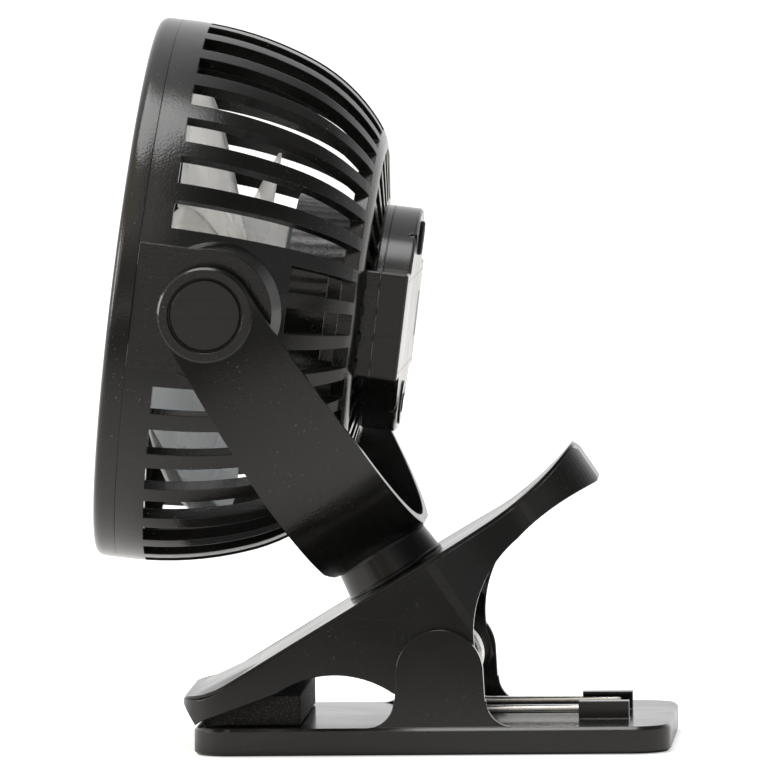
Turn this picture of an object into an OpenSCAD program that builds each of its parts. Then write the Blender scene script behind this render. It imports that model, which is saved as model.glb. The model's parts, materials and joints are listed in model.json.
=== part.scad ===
// Clip-on camping fan.
//
// A caged fan head tilts in a U-shaped yoke, the yoke swivels on the upper jaw of a
// spring clamp, and the clamp's lower jaw is a flat base that also stands on a table.
// Millimetres. +Z is up, the fan blows towards -Y, and the hinges run along X.
// The origin is the middle of the base's underside.

/* [Clamp] */
// Length of the base plate, front to rear
base_l = 125.8; // [125:0.1:127]
// Width of the base plate
base_w = 80; // [79.6:0.1:81]
// Height of the base plate's top face
base_h = 7.45; // [7.2:0.05:7.6]
// Corner radius of the base plate, seen from above
base_r = 10; // [8:0.5:12]
// Width of the upper jaw
jaw_w = 70; // [69.6:0.1:70]
// Slope of the upper jaw's flat top, in degrees
jaw_slope = 31.1; // [30.9:0.1:31.3]
// Wall thickness of the upper jaw
jaw_wall = 2.2; // [1.8:0.1:2.4]
// Wire diameter of the two torsion springs
wire_d = 2.3; // [2.1:0.1:2.4]

/* [Yoke] */
// Distance from the jaw's top face up to the tilt axis
pivot_h = 86.6; // [86.4:0.1:87.4]
// Thickness of the yoke's strip
yoke_t = 2.8; // [2.6:0.1:3]
// Width of the yoke's strip at the tilt axis
yoke_w = 25; // [24:0.5:26]

/* [Head] */
// Diameter of the head at its parting line
head_d = 144; // [143.8:0.1:144.4]
// Tilt of the head at rest, in degrees, front up
head_tilt = 7.5; // [0:0.1:20]
// Thickness of the rear cage's ribs, from outside to inside
rib_t = 3.2; // [2.8:0.1:3.4]
// Angle that one slot of the rear cage takes out of each pitch
slot_angle = 6.2; // [5.6:0.1:6.6]
// Number of ribs in the front grille
front_ribs = 36; // [30:2:40]

/* [Fan] */
// Number of blades
blade_n = 3; // [2:1:4]
// Radius of the blade tips
blade_r = 58; // [54:0.5:59]
// Thickness of a blade at its middle
blade_t = 1.6; // [1.4:0.1:2]

/* [Hidden] */

$fn = 96;
big = 400;
shell_black = "#1b1b1c";
pad_black = "#26262a";
steel = "#b9bbbe";
blade_tint = "#cfdde3";
board_green = "#1d5a3a";
brass = "#b08d4a";

// Clamp, in the base's own frame
foot_proud = 0.25;
edge_c = 0.8;
pin_y = 2.4;
pin_z = 21.75;
pin_r = 2.98;
ear_r = 11.5;
ear_foot = 12.2;
ear_fillet = 7;
ear_t = 3.2;
ear_gap = 0.5;
foot_x = base_w / 2 - 9.5;
foot_y = base_l / 2 - 9.5;
foot_r = 5.5;

// Torsion springs
wire_r = wire_d / 2;
coil_r = 7.9;
coil_pitch = 2.5;
coil_turns = 4;
leg_x = 13.3;
leg_z = base_h + 2.45;
leg_end_y = 48;
clip_y0 = 38.1;
clip_y1 = 51.4;
drum_r = 6.4;

// Upper jaw, outline in Y and Z
swivel_y = -10.6;
swivel_z = 44.95;
cover_t = 0.75;
lip_h = 0.5;
lip_w = 1;
rim_drop = cover_t / cos(jaw_slope);
nose_y = -66.2;
nose_r = 12;
bend_y = 14.3;
bend_r = 83;
bend_z = swivel_z - rim_drop + (bend_y - swivel_y) * tan(jaw_slope);
bend_c = [bend_y - bend_r * sin(jaw_slope), bend_z + bend_r * cos(jaw_slope)];
lip_turn = 5.5;
handle_top = [36.9, 79.1];
handle_tip = [43.3, 69.6];
handle_turn = 34;
handle_r = 20;
handle_half = 23;
handle_taper = 40;
shoulder_r = 30;
waist_r = 6.6;
grip_c = [65.96, 14.43];
grip_r = 60;
throat_c = [42.13, 32.15];
throat_r = 30.8;
throat_z = 56;
arch_c = [-25.6, -6.3];
arch_r = 27.35;
lug_r = 11;
pad_y0 = -60.4;
pad_y1 = -34.6;
pad_z0 = base_h + 0.3;
pad_z1 = 15.7;
heel_y = -59.4;
heel_z = 10.87;
step_y = -51;

// Swivel, measured up from the jaw's top face
knuckle_h = 7.4;
knuckle_r = 13.5;
spigot_r = 8;
spigot_l = 6.2;

// Yoke, measured from the tilt axis
u_rise = 1;
u_ri = pivot_h - 9.2;
u_ro = u_ri + yoke_t;
boss_r = 12.4;
arm_in = 74.7;
cap_r = 9.83;
pocket_x = 77;

// Head, where z runs back along the head's own axis from the parting line
head_r = head_d / 2;
pivot_u = 19.6;
bezel_u = -6.1;
slot_u = 7.5;
slot_pitch = 10;
side_slot_u = 39.5;
ring_r0 = 44.3;
ring_r1 = 49.2;
side_face = 74.3;
cheek_x = 71.2;
cheek_h = 16.3;
cheek_r = 16.8;
pod_r = 29.8;
pod_u = 36.3;
seam_u = 61.8;
back_u = 69.15;
bevel = 0.6;
box_x = 78;
box_y = 28.5;
wall = 1.8;
arc_a = [2.5, head_r, 89, 0, 22];
arc_b_r = 46;
arc_c_r = 15;
cell_r = 9.15;
cell_l = 65;
cell_u = 58.75;
motor_r = 12.2;
hub_r = 23.5;
hub_u0 = 3.4;
hub_u1 = 35;
button_y = 22;
button_r = 4.5;
usb_y = -22;
cover_screw_x = 17;
cover_screw_y = 21.5;

// ---------------------------------------------------------------- frames

// Places children in the frame of the jaw's sloping top: z along the swivel axis.
module on_jaw() {
  translate([0, swivel_y, swivel_z]) rotate([jaw_slope, 0, 0]) children();
}

// Places children at the tilt axis, still square to the yoke.
module at_pivot() {
  on_jaw() translate([0, 0, pivot_h]) children();
}

// Places children in the head: seen from behind, x right, y up and z rearwards.
module in_head() {
  translate([0, swivel_y - pivot_h * sin(jaw_slope), swivel_z + pivot_h * cos(jaw_slope)])
    rotate([-(90 + head_tilt), 0, 0]) rotate([0, 0, 180]) translate([0, 0, -pivot_u]) children();
}

// Extrudes an outline drawn in Y and Z across the width w, centred on X = 0.
module across(w) {
  rotate([90, 0, 90]) translate([0, 0, -w / 2]) linear_extrude(w) children();
}

// A round bar along X from x0 to x1.
module bar_x(x0, x1, r) {
  translate([x0, 0, 0]) rotate([0, 90, 0]) cylinder(h = x1 - x0, r = r);
}

// ---------------------------------------------------------------- shared shapes

// A plate with rounded corners in plan and chamfered top and bottom edges.
module soft_plate(l, w, h, r, c) {
  side = [[0, 0], [1, 0], [1, 1], [0, 1]];
  for (sx = [-1, 1]) for (sy = [-1, 1])
    translate([sx * (w / 2 - r), sy * (l / 2 - r), 0])
      rotate_extrude() polygon([[0, 0], [r - c, 0], [r, c], [r, h - c], [r - c, h], [0, h]]);
  across(w - 2 * r) chamfered_bar(l, h, c);
  rotate([0, 0, 90]) across(l - 2 * r) chamfered_bar(w, h, c);
}

function unit(v) = v / norm(v);

module chamfered_bar(l, h, c) {
  polygon([
    [-l / 2 + c, 0], [l / 2 - c, 0], [l / 2, c], [l / 2, h - c],
    [l / 2 - c, h], [-l / 2 + c, h], [-l / 2, h - c], [-l / 2, c]
  ]);
}

// A ring sector, from angle a0 to a1, between radii r - t and r.
module arc_band(c, r, t, a0, a1) {
  reach = 2 * r;
  translate(c) intersection() {
    difference() {
      circle(r, $fn = 180);
      circle(r - t, $fn = 180);
    }
    polygon([[0, 0], reach * [cos(a0), sin(a0)], reach * [cos(a1), sin(a1)]]);
  }
}

// A rectangle with rounded corners, centred.
module round_rect(x, y, r) {
  square([x - 2 * r, y], center = true);
  square([x, y - 2 * r], center = true);
  for (sx = [-1, 1]) for (sy = [-1, 1])
    translate([sx * (x / 2 - r), sy * (y / 2 - r)]) circle(r, $fn = 48);
}

// ---------------------------------------------------------------- base

module base() {
  color(shell_black) difference() {
    union() {
      translate([0, 0, foot_proud])
        soft_plate(base_l, base_w, base_h - foot_proud, base_r, edge_c);
      for (s = [-1, 1]) {
        translate([s * (jaw_w / 2 + ear_gap + ear_t / 2), 0, 0]) across(ear_t) ear_outline();
        spring_clip(s);
      }
    }
    base_hollows();
    for (sx = [-1, 1]) for (sy = [-1, 1])
      translate([sx * foot_x, sy * foot_y, -1]) cylinder(h = 3, r = foot_r + 0.05);
    translate([0, pin_y, pin_z])
      bar_x(-jaw_w / 2 - ear_gap - ear_t + 0.9, jaw_w / 2 + ear_gap + ear_t - 0.9, 3);
  }
}

// One ear: round top about the pin, sides that spread, and a fillet onto the base.
module ear_outline() {
  drop = pin_z - base_h;
  translate([pin_y, pin_z]) {
    circle(ear_r);
    polygon([
      [-ear_r, 0], [-ear_foot, -drop], [-ear_foot, -drop - 1],
      [ear_foot, -drop - 1], [ear_foot, -drop], [ear_r, 0]
    ]);
    for (m = [0, 1]) mirror([m, 0]) difference() {
      translate([ear_foot - 1, -drop - 1]) square([ear_fillet + 1, ear_fillet + 1]);
      translate([ear_foot + ear_fillet, -drop + ear_fillet]) circle(ear_fillet);
      translate([ear_foot + ear_fillet, -drop]) square(ear_fillet);
    }
  }
}

// The hook that holds a spring's lower leg down: post outboard, lip over the leg.
module spring_clip(s) {
  x0 = leg_x - 1.1;
  x1 = leg_x + 3.3;
  top = leg_z + wire_r + 1.1;
  lip = leg_z + wire_r + 0.1;
  mirror([s < 0 ? 1 : 0, 0, 0]) {
    translate([leg_x + wire_r + 0.3, clip_y0, base_h - 1])
      cube([x1 - leg_x - wire_r - 0.3, clip_y1 - clip_y0, top - base_h + 1]);
    translate([x0, clip_y0, lip]) cube([x1 - x0, clip_y1 - clip_y0, top - lip]);
    translate([x0, clip_y1 - 1.2, base_h - 1]) cube([x1 - x0, 1.2, top - base_h + 1]);
  }
}

// The underside is cored out between ribs, with a solid land round each foot.
module base_hollows() {
  cell_x = (base_w - 6 - 2 * 2) / 3;
  cell_y = (base_l - 6 - 3 * 2) / 4;
  difference() {
    for (ix = [-1, 0, 1]) for (iy = [-1.5, -0.5, 0.5, 1.5])
      translate([ix * (cell_x + 2), iy * (cell_y + 2), -1])
        linear_extrude(5.6) round_rect(cell_x, cell_y, 2);
    for (sx = [-1, 1]) for (sy = [-1, 1])
      translate([sx * foot_x, sy * foot_y, -2]) cylinder(h = 10, r = foot_r + 1.8);
  }
}

module base_feet() {
  color(pad_black)
    for (sx = [-1, 1]) for (sy = [-1, 1])
      translate([sx * foot_x, sy * foot_y, 0]) cylinder(h = 2, r = foot_r);
}

module hinge_pin() {
  color(steel) translate([0, pin_y, pin_z])
    bar_x(-jaw_w / 2 - ear_gap - ear_t + 1, jaw_w / 2 + ear_gap + ear_t - 1, pin_r);
}

// ---------------------------------------------------------------- torsion springs

// Centre line of one spring: lower leg, coil about the pin, then the upper leg.
coil_start = 270;
coil_end = 145 - 360 * coil_turns;
coil_step = 20;
coil_points = [
  for (a = [coil_start : -coil_step : coil_end])
    coil_point(a)
];
function coil_point(a) = [
  leg_x + coil_pitch * (coil_start - a) / 360,
  pin_y + coil_r * cos(a),
  pin_z + coil_r * sin(a)
];
leg_dir = [0, sin(145), -cos(145)];
upper_leg = 34;
spring_path = concat(
  [
    [leg_x, leg_end_y, leg_z], [leg_x, 14, leg_z], [leg_x, 11, leg_z + 0.4],
    [leg_x, 8, leg_z + 1.4], [leg_x, 5.5, leg_z + 2.7], [leg_x, 3.8, leg_z + 3.6]
  ],
  coil_points,
  [coil_point(coil_end), coil_point(coil_end) + upper_leg * leg_dir]
);

function path_dir(p, i) = unit(p[min(i + 1, len(p) - 1)] - p[max(i - 1, 0)]);

// Sweeps a round wire along the path. Each ring stands square to the path, and one
// side of it always points along X, which no stretch of the path follows.
module wire(path, r, sides) {
  points = [
    for (i = [0 : len(path) - 1])
      let (t = path_dir(path, i), n = unit([1, 0, 0] - t[0] * t), b = cross(t, n))
        for (k = [0 : sides - 1])
          path[i] + r * (cos(360 * k / sides) * n + sin(360 * k / sides) * b)
  ];
  last = (len(path) - 1) * sides;
  faces = concat(
    [[for (k = [0 : sides - 1]) k]],
    [[for (k = [sides - 1 : -1 : 0]) last + k]],
    [
      for (i = [0 : len(path) - 2]) for (k = [0 : sides - 1])
        let (a = i * sides + k, b = i * sides + (k + 1) % sides)
          [a, a + sides, b + sides, b]
    ]
  );
  polyhedron(points, faces, convexity = 10);
}

module torsion_spring_left() {
  color(steel) wire(spring_path, wire_r, 8);
}

module torsion_spring_right() {
  color(steel) mirror([1, 0, 0]) wire(spring_path, wire_r, 8);
}

// ---------------------------------------------------------------- upper jaw

// Height of the jaw's side rim on its straight stretch.
function rim_z(y) = swivel_z - rim_drop + (y - swivel_y) * tan(jaw_slope);

// Side outline: nose, straight rim, handle that curls up, throat, lug and arch.
module jaw_outline() {
  face = unit(handle_tip - handle_top);
  difference() {
    union() {
      polygon([
        [-62.6, 7.8], [-64.2, 10.2], [-66, 13.1], [nose_y, 14.2], [-65.9, 14.6], [-63.4, 14.5],
        [-60.9, 14.75], [-58.1, 15.75], [-55.6, rim_z(-55.6)], [bend_y, bend_z],
        handle_top, handle_top + 1.2 * face + [0.8, 0.2], handle_tip - 1.2 * face + [0.8, 0.2],
        handle_tip, [pin_y + 9.4, pin_z], [pin_y, pin_z - 7.8], [-9.75, 16.1],
        [-40.3, 16.6], [-61, 9]
      ]);
      translate([pin_y, pin_z]) circle(lug_r);
    }
    translate(bend_c) circle(bend_r, $fn = 180);
    translate(arch_c) circle(arch_r, $fn = 180);
    intersection() {
      translate(grip_c) circle(grip_r, $fn = 180);
      translate([0, throat_z]) square(big);
    }
    intersection() {
      translate(throat_c) circle(throat_r, $fn = 120);
      translate([0, throat_z - 60]) square([big, 60]);
    }
  }
}

// Keeps the part of a jaw piece that lies d or more inside the jaw's plan: round at the
// nose seen from above, and round at the handle's end seen along its end face.
module within_plan(d, front = 0) {
  half = jaw_w / 2 - d;
  r = nose_r - d;
  rh = handle_r - d;
  y0 = nose_y + (front == 0 ? d : front);
  intersection() {
    children();
    linear_extrude(big) union() {
      translate([-half, y0 + r]) square([2 * half, 160]);
      translate([-half + r, y0]) square([2 * (half - r), 40]);
      for (s = [-1, 1]) translate([s * (half - r), y0 + r]) circle(r);
    }
    translate([0, handle_tip[0], handle_tip[1]]) rotate([handle_turn, 0, 0])
      translate([0, 1 - d, -60]) linear_extrude(120) handle_plan(half, handle_half - d, rh);
  }
}

// The handle in plan, its end at 0: straight sides, a shoulder that rounds into a taper,
// a filleted waist and a round end.
module handle_plan(half, tip_half, r) {
  shoulder = [half, -handle_taper];
  waist = [tip_half, -handle_r - 2];
  slant = unit(waist - shoulder);
  turn = acos(slant[1]);
  run = shoulder_r * tan(turn / 2);
  fillet = waist_r * tan(turn / 2);
  right = concat(
    plan_arc(shoulder - [shoulder_r, run], shoulder_r, 0, turn),
    plan_arc(waist + [waist_r, fillet], waist_r, 180 + turn, 180),
    plan_arc([tip_half - r, -r], r, 0, 90)
  );
  last = len(right) - 1;
  left = [for (i = [last : -1 : 0]) [-right[i][0], right[i][1]]];
  polygon(concat([[half, -220]], right, left, [[-half, -220]]));
}

// Points of an arc from angle a0 to a1, in even steps of about 5 degrees.
function plan_arc(c, r, a0, a1) =
  let (n = ceil(abs(a1 - a0) / 5))
    [for (i = [0 : n]) let (a = a0 + (a1 - a0) * i / n) c + r * [cos(a), sin(a)]];

// The hollow: under the top wall, between the side walls, and open below.
module jaw_hollow() {
  within_plan(jaw_wall) across(jaw_w - 2 * jaw_wall) difference() {
    polygon([
      [pad_y0, 0], [pad_y0, inner_z(pad_y0)], [bend_y, inner_z(bend_y)],
      handle_top, handle_tip + [10, 0], [70, 40], [70, 0]
    ]);
    translate(bend_c) circle(bend_r + jaw_wall, $fn = 180);
  }
}

function inner_z(y) = rim_z(y) - jaw_wall / cos(jaw_slope);

module upper_jaw() {
  color(shell_black) difference() {
    union() {
      difference() {
        within_plan(0) across(jaw_w) jaw_outline();
        jaw_hollow();
      }
      // spring drums and round lands about the hinge pin
      for (s = [-1, 1]) mirror([s < 0 ? 1 : 0, 0, 0]) translate([0, pin_y, pin_z]) {
        bar_x(11, jaw_w / 2 - jaw_wall, drum_r);
        bar_x(jaw_w / 2 - jaw_wall - 2, jaw_w / 2 - jaw_wall, lug_r - 0.4);
      }
      // collar that the swivel turns in
      on_jaw() translate([0, 0, -spigot_l + 0.1])
        cylinder(h = spigot_l - 0.1 - cover_t - 1, r = spigot_r + 3.4);
    }
    translate([0, pin_y, pin_z]) bar_x(-jaw_w, jaw_w, pin_r + 0.07);
    on_jaw() translate([0, 0, -20]) cylinder(h = 30, r = spigot_r + 0.06);
  }
}

// Section of the top cover in Y and Z, on the jaw's rim line: t thick on its flat part
// and for lip_turn degrees of the bend, and cover_t thick up the handle.
module cover_section(t) {
  rise = t / cos(jaw_slope);
  polygon([
    [nose_y, 14.2], [-65.9, 14.6], [-63.4, 14.5], [-60.9, 14.75], [-58.1, 15.75],
    [-55.6, rim_z(-55.6)], [bend_y, bend_z],
    [bend_y - t * sin(jaw_slope), bend_z + t * cos(jaw_slope)],
    [-55.6, rim_z(-55.6) + rise], [-58.1, 15.75 + rise], [-60.9, 14.9 + rise],
    [-63.4, 14.35 + 0.9 * rise], [-65.4, 14.6 + 0.6 * rise]
  ]);
  bend_band(cover_t, -0.3, 30);
  bend_band(t, -0.3, lip_turn);
}

// A stretch of the bend, t thick, from angle a0 to a1 past its start.
module bend_band(t, a0, a1) {
  intersection() {
    difference() {
      translate(bend_c) circle(bend_r, $fn = 180);
      translate(bend_c) circle(bend_r - t, $fn = 180);
    }
    polygon([bend_c, bend_ray(a0), bend_ray(a1)]);
  }
}

function bend_ray(a) = bend_c + 1.3 * bend_r * [sin(jaw_slope + a), -cos(jaw_slope + a)];

// The space above the cover's floor, between its lips.
module cover_tray() {
  rise = cover_t / cos(jaw_slope);
  up = [-sin(jaw_slope), cos(jaw_slope)];
  polygon([
    [bend_y, bend_z] + cover_t * up, [-55.6, rim_z(-55.6) + rise], [-58.1, 15.75 + rise],
    [-60.9, 14.9 + rise], [-63.4, 14.35 + 0.9 * rise], [nose_y - 2, 14.6 + 0.6 * rise],
    [nose_y - 2, 40], [bend_y, bend_z] + 20 * up
  ]);
  intersection() {
    translate(bend_c) circle(bend_r - cover_t, $fn = 180);
    polygon([bend_c + 40 * [sin(jaw_slope), -cos(jaw_slope)], bend_ray(-0.3), bend_ray(40)]);
  }
}

// A plate that caps the jaw from nose to handle, with a low lip round its flat part.
module jaw_top_cover() {
  inset = 0.9;
  edge = inset + lip_w;
  color(shell_black) difference() {
    within_plan(inset, 0.4) across(jaw_w) cover_section(cover_t + lip_h);
    intersection() {
      across(jaw_w) cover_tray();
      linear_extrude(big) difference() {
        translate([edge - jaw_w / 2, nose_y + edge]) square([jaw_w - 2 * edge, 120]);
        for (m = [0, 1]) mirror([m, 0]) difference() {
          translate([jaw_w / 2 - nose_r, nose_y]) square(nose_r);
          translate([jaw_w / 2 - nose_r, nose_y + nose_r]) circle(nose_r - edge);
        }
      }
    }
    on_jaw() translate([0, 0, -10]) cylinder(h = 20, r = spigot_r + 0.06);
  }
}

// The wedge inside the nose that backs the grip pad.
module pad_carrier() {
  web_y = -46;
  color(shell_black) within_plan(jaw_wall) across(jaw_w - 2 * jaw_wall) polygon([
    [heel_y, heel_z], [heel_y, inner_z(heel_y)], [web_y, inner_z(web_y)],
    [web_y, pad_z1], [step_y, pad_z1]
  ]);
}

// The grip pad fills the nose down to the base and stands out behind it.
module grip_pad() {
  color(pad_black) within_plan(jaw_wall + 0.3) across(jaw_w - 2 * jaw_wall - 0.6) polygon([
    [pad_y0 - 0.4, pad_z0], [pad_y0 + 0.3, pad_z0 + 2.15], [heel_y, heel_z], [step_y, pad_z1],
    [pad_y1, pad_z1], [pad_y1, pad_z0]
  ]);
}

// ---------------------------------------------------------------- swivel and yoke

// The turntable under the yoke, with a spigot down through the jaw.
module swivel_knuckle() {
  color(shell_black) on_jaw() difference() {
    rotate_extrude() polygon([
      [0, -spigot_l], [spigot_r, -spigot_l], [spigot_r, 0.2], [knuckle_r + 0.6, 0.2],
      [knuckle_r + 0.6, 1.1], [knuckle_r + 0.3, 1.3], [knuckle_r - 0.5, knuckle_h],
      [knuckle_r - 0.5, 10], [0, 10]
    ]);
    // the top is hollowed to the yoke's curve
    translate([0, 25, pivot_h + u_rise]) rotate([90, 0, 0]) cylinder(h = 50, r = u_ro, $fn = 180);
    translate([0, 0, -10]) cylinder(h = 15, r = 1.5);
  }
}

module swivel_washer() {
  color(steel) on_jaw() translate([0, 0, -spigot_l - 1.2]) difference() {
    cylinder(h = 1.2, r = 11);
    translate([0, 0, -1]) cylinder(h = 4, r = 1.7);
  }
}

module swivel_screw() {
  color(steel) on_jaw() translate([0, 0, -spigot_l - 1.2]) {
    translate([0, 0, -2]) cylinder(h = 2, r = 3.2);
    cylinder(h = 11, r = 1.5);
  }
}

// U outline in X and Z about the tilt axis.
module u_outline() {
  difference() {
    union() {
      translate([0, u_rise]) circle(u_ro, $fn = 180);
      translate([-u_ro, u_rise]) square([2 * u_ro, 20]);
    }
    translate([0, u_rise]) circle(u_ri, $fn = 180);
    translate([-u_ri, u_rise]) square([2 * u_ri, 100]);
  }
}

// Side outline of the strip, in Y and Z about the tilt axis: it widens downwards.
module strip_outline() {
  top = yoke_w / 2;
  foot = top + 1.8;
  base_z = u_rise - u_ro;
  circle(top);
  polygon([
    [-top, 0], [-top - 0.4, -15], [-foot - 0.2, -52], [-foot - 0.2, base_z + 3.2],
    [-foot + 0.8, base_z + 0.9], [-foot + 2.4, base_z], [foot - 1, base_z],
    [foot, base_z + 1], [foot + 0.2, -52], [top + 0.4, -15], [top, 0]
  ]);
}

module yoke() {
  color(shell_black) at_pivot() difference() {
    union() {
      intersection() {
        rotate([90, 0, 0]) translate([0, 0, -25]) linear_extrude(50) u_outline();
        across(2 * u_ro + 4) strip_outline();
      }
      for (s = [-1, 1]) mirror([s < 0 ? 1 : 0, 0, 0])
        rotate([0, 90, 0]) rotate_extrude() polygon([
          [0, arm_in], [boss_r - 0.4, arm_in], [boss_r, arm_in + 0.4],
          [boss_r, u_ro + 0.2], [boss_r - 0.5, u_ro + 0.6], [0, u_ro + 0.6]
        ]);
    }
    for (s = [-1, 1]) mirror([s < 0 ? 1 : 0, 0, 0]) {
      bar_x(pocket_x, u_ro + 5, cap_r + 0.02);
      bar_x(u_ri - 10, u_ro, 4.1);
    }
  }
}

// Round caps over the tilt screws, one on each arm.
module pivot_caps() {
  face = u_ro + 0.3;
  color(shell_black) at_pivot()
    for (s = [-1, 1]) mirror([s < 0 ? 1 : 0, 0, 0])
      rotate([0, 90, 0]) rotate_extrude() polygon([
        [0, face - 1.2], [cap_r - 1.4, face - 1.2], [cap_r - 1.4, pocket_x], [cap_r, pocket_x],
        [cap_r, face - 0.9], [cap_r - 0.6, face - 0.9], [cap_r - 0.6, face - 0.3],
        [cap_r - 0.9, face], [0, face]
      ]);
}

// ---------------------------------------------------------------- rear cage

function arc_end(c, r, a) = [c[0] + r * cos(a), c[1] + r * sin(a)];

// The cage's wall is three arcs that run on into one another, in radius and depth.
turn_1 = 22;
turn_2 = 52;
turn_3 = 86;
centre_a = [head_r - arc_a[2], arc_a[0]];
centre_b = arc_end(centre_a, arc_a[2] - arc_b_r, turn_1);
centre_c = arc_end(centre_b, arc_b_r - arc_c_r, turn_2);

module cage_profile() {
  tail = arc_end(centre_c, arc_c_r, turn_3);
  translate([head_r - rib_t, 0]) square([rib_t, arc_a[0] + 0.1]);
  arc_band(centre_a, arc_a[2], rib_t, 0, turn_1 + 0.3);
  arc_band(centre_b, arc_b_r, rib_t, turn_1 - 0.3, turn_2 + 0.3);
  arc_band(centre_c, arc_c_r, rib_t, turn_2 - 0.3, turn_3);
  polygon([
    tail + [0.3, 0], [pod_r - 1, tail[1] + 2.2], [pod_r - 1, tail[1] - 1], tail - [-0.2, rib_t]
  ]);
}

// Slot sectors between the radii r0 and r1. Those over the pivots are the short ones.
module slot_sectors(r0, r1, angle, short) {
  difference() {
    intersection() {
      circle(r1);
      for (k = [0 : 35]) if (is_short(k) == short)
        rotate(k * slot_pitch)
          polygon([[0, 0], big * [cos(angle / 2), -sin(angle / 2)],
                   big * [cos(angle / 2), sin(angle / 2)]]);
    }
    circle(r0);
  }
}

function is_short(k) = abs(cos(k * slot_pitch)) > 0.97;

module rear_cage() {
  color(shell_black) in_head() difference() {
    union() {
      difference() {
        rotate_extrude($fn = 180) cage_profile();
        translate([0, 0, slot_u]) linear_extrude(70)
          slot_sectors(ring_r1, 90, slot_angle, false);
        translate([0, 0, side_slot_u]) linear_extrude(40)
          slot_sectors(ring_r1, 90, slot_angle, true);
        translate([0, 0, 50]) linear_extrude(30)
          intersection() {
            union() {
              slot_sectors(pod_r + 1.6, ring_r0, slot_angle + 0.6, false);
              slot_sectors(pod_r + 1.6, ring_r0, slot_angle + 0.6, true);
            }
            difference() {
              square(200, center = true);
              square([box_x, box_y], center = true);
            }
          }
        cheek_cuts();
      }
      // stiffening ring behind the bars' outer ends
      rotate_extrude($fn = 120)
        polygon([[ring_r0, 52.4], [ring_r1, 52.4], [ring_r1, 55.2], [ring_r0, 56.6]]);
      pivot_bosses();
      translate([0, 0, pod_u]) cylinder(h = seam_u - pod_u, r = pod_r);
      tray_block();
    }
    // inside of the motor cup and of the battery tray
    translate([0, 0, pod_u + wall]) cylinder(h = 40, r = pod_r - wall);
    translate([0, 0, cell_u - cell_r - 0.05]) linear_extrude(40)
      square([cell_l + 3.4, 2 * cell_r + 0.8], center = true);
    translate([0, 0, seam_u - 2.4]) linear_extrude(20)
      square([box_x - 4, box_y - 4], center = true);
    // way for the grille's spigot, then shaft, motor screws and tilt screws
    translate([0, 0, -1]) cylinder(h = 4.4, r = head_r - rib_t, $fn = 180);
    cylinder(h = 60, r = 3.05);
    for (s = [-1, 1]) {
      translate([s * 8, 0, pod_u - 1]) cylinder(h = 2, r = 1.95);
      translate([s * 8, 0, pod_u]) cylinder(h = 10, r = 1.05);
      translate([0, 0, pivot_u]) mirror([s < 0 ? 1 : 0, 0, 0]) bar_x(63.8, 90, 1.7);
    }
  }
}

// A flat cheek on each side with a round rear end, and the tilt boss that stands on it.
module pivot_bosses() {
  for (s = [-1, 1]) translate([0, 0, pivot_u]) mirror([s < 0 ? 1 : 0, 0, 0]) {
    rotate([0, 90, 0]) translate([0, 0, 66.6])
      cylinder(h = cheek_x - 66.6, r1 = cheek_r + 2.4, r2 = cheek_r);
    translate([66.6, -cheek_h, -pivot_u]) cube([cheek_x - 66.6, 2 * cheek_h, pivot_u]);
    bar_x(cheek_x - 1, side_face, 11.6);
    bar_x(63, 67, 4.6);
  }
}

// What the cheeks' planes take off the round wall.
module cheek_cuts() {
  for (s = [-1, 1]) translate([0, 0, pivot_u]) mirror([s < 0 ? 1 : 0, 0, 0]) {
    bar_x(cheek_x, head_r + 5, cheek_r);
    translate([cheek_x, -cheek_h, -pivot_u - 1]) cube([10, 2 * cheek_h, pivot_u + 1]);
  }
}

// The battery tray lies across the back of the cage.
module tray_block() {
  floor_u = cell_u - cell_r - 1.5;
  translate([0, 0, floor_u]) linear_extrude(seam_u - floor_u)
    square([cell_l + 6.6, 2 * cell_r + 4], center = true);
  translate([0, 0, 57.8]) linear_extrude(seam_u - 57.8) round_rect(box_x, box_y, 0.8);
}

// ---------------------------------------------------------------- front grille

module front_grille() {
  rim_r = 2.8;
  rim_in = head_r - 6;
  color(shell_black) in_head() {
    rotate_extrude($fn = 180) {
      translate([head_r - 2.3, bezel_u + rim_r]) square([2.3, -bezel_u - rim_r]);
      arc_band([head_r - rim_r, bezel_u + rim_r], rim_r, 2.3, -90, 0);
      translate([rim_in, bezel_u]) square([head_r - rim_r - rim_in, 2.3]);
      translate([head_r - rib_t - 1.5, -2]) square([1.4, 5]);
      translate([head_r - rib_t - 1.5, -2]) square([rib_t + 0.5, 1.9]);
    }
    translate([0, 0, bezel_u + 0.4]) linear_extrude(2.4) grille_pattern(rim_in);
    translate([0, 0, bezel_u]) linear_extrude(2.4) difference() {
      circle(18.2);
      circle(15);
    }
    translate([0, 0, bezel_u + 1.4]) linear_extrude(1.4) circle(17);
  }
}

// Curved ribs from the middle to the rim, tied by two rings.
module grille_pattern(rim_in) {
  bend = 46;
  rib_w = 1.5;
  intersection() {
    difference() {
      circle(rim_in + 1);
      circle(16);
    }
    union() {
      for (k = [0 : front_ribs - 1]) rotate(360 * k / front_ribs) intersection() {
        translate([bend, 0]) difference() {
          circle(bend + rib_w / 2, $fn = 120);
          circle(bend - rib_w / 2, $fn = 120);
        }
        translate([-10, 0]) square([120, 120]);
      }
      for (r = [33.5, 50]) difference() {
        circle(r + 0.8);
        circle(r - 0.8);
      }
    }
  }
}

// A plain bare disc in the middle of the grille.
module grille_cap() {
  color(shell_black) in_head() rotate_extrude() polygon([
    [0, bezel_u + 1.4], [14.9, bezel_u + 1.4], [14.9, bezel_u + 0.3], [14.5, bezel_u - 0.1],
    [8, bezel_u - 0.3], [0, bezel_u - 0.35]
  ]);
}

// ---------------------------------------------------------------- rear cover

module cover_outline(d) {
  circle(pod_r - d);
  round_rect(box_x - 2 * d, box_y - 2 * d, 0.8);
}

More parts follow.
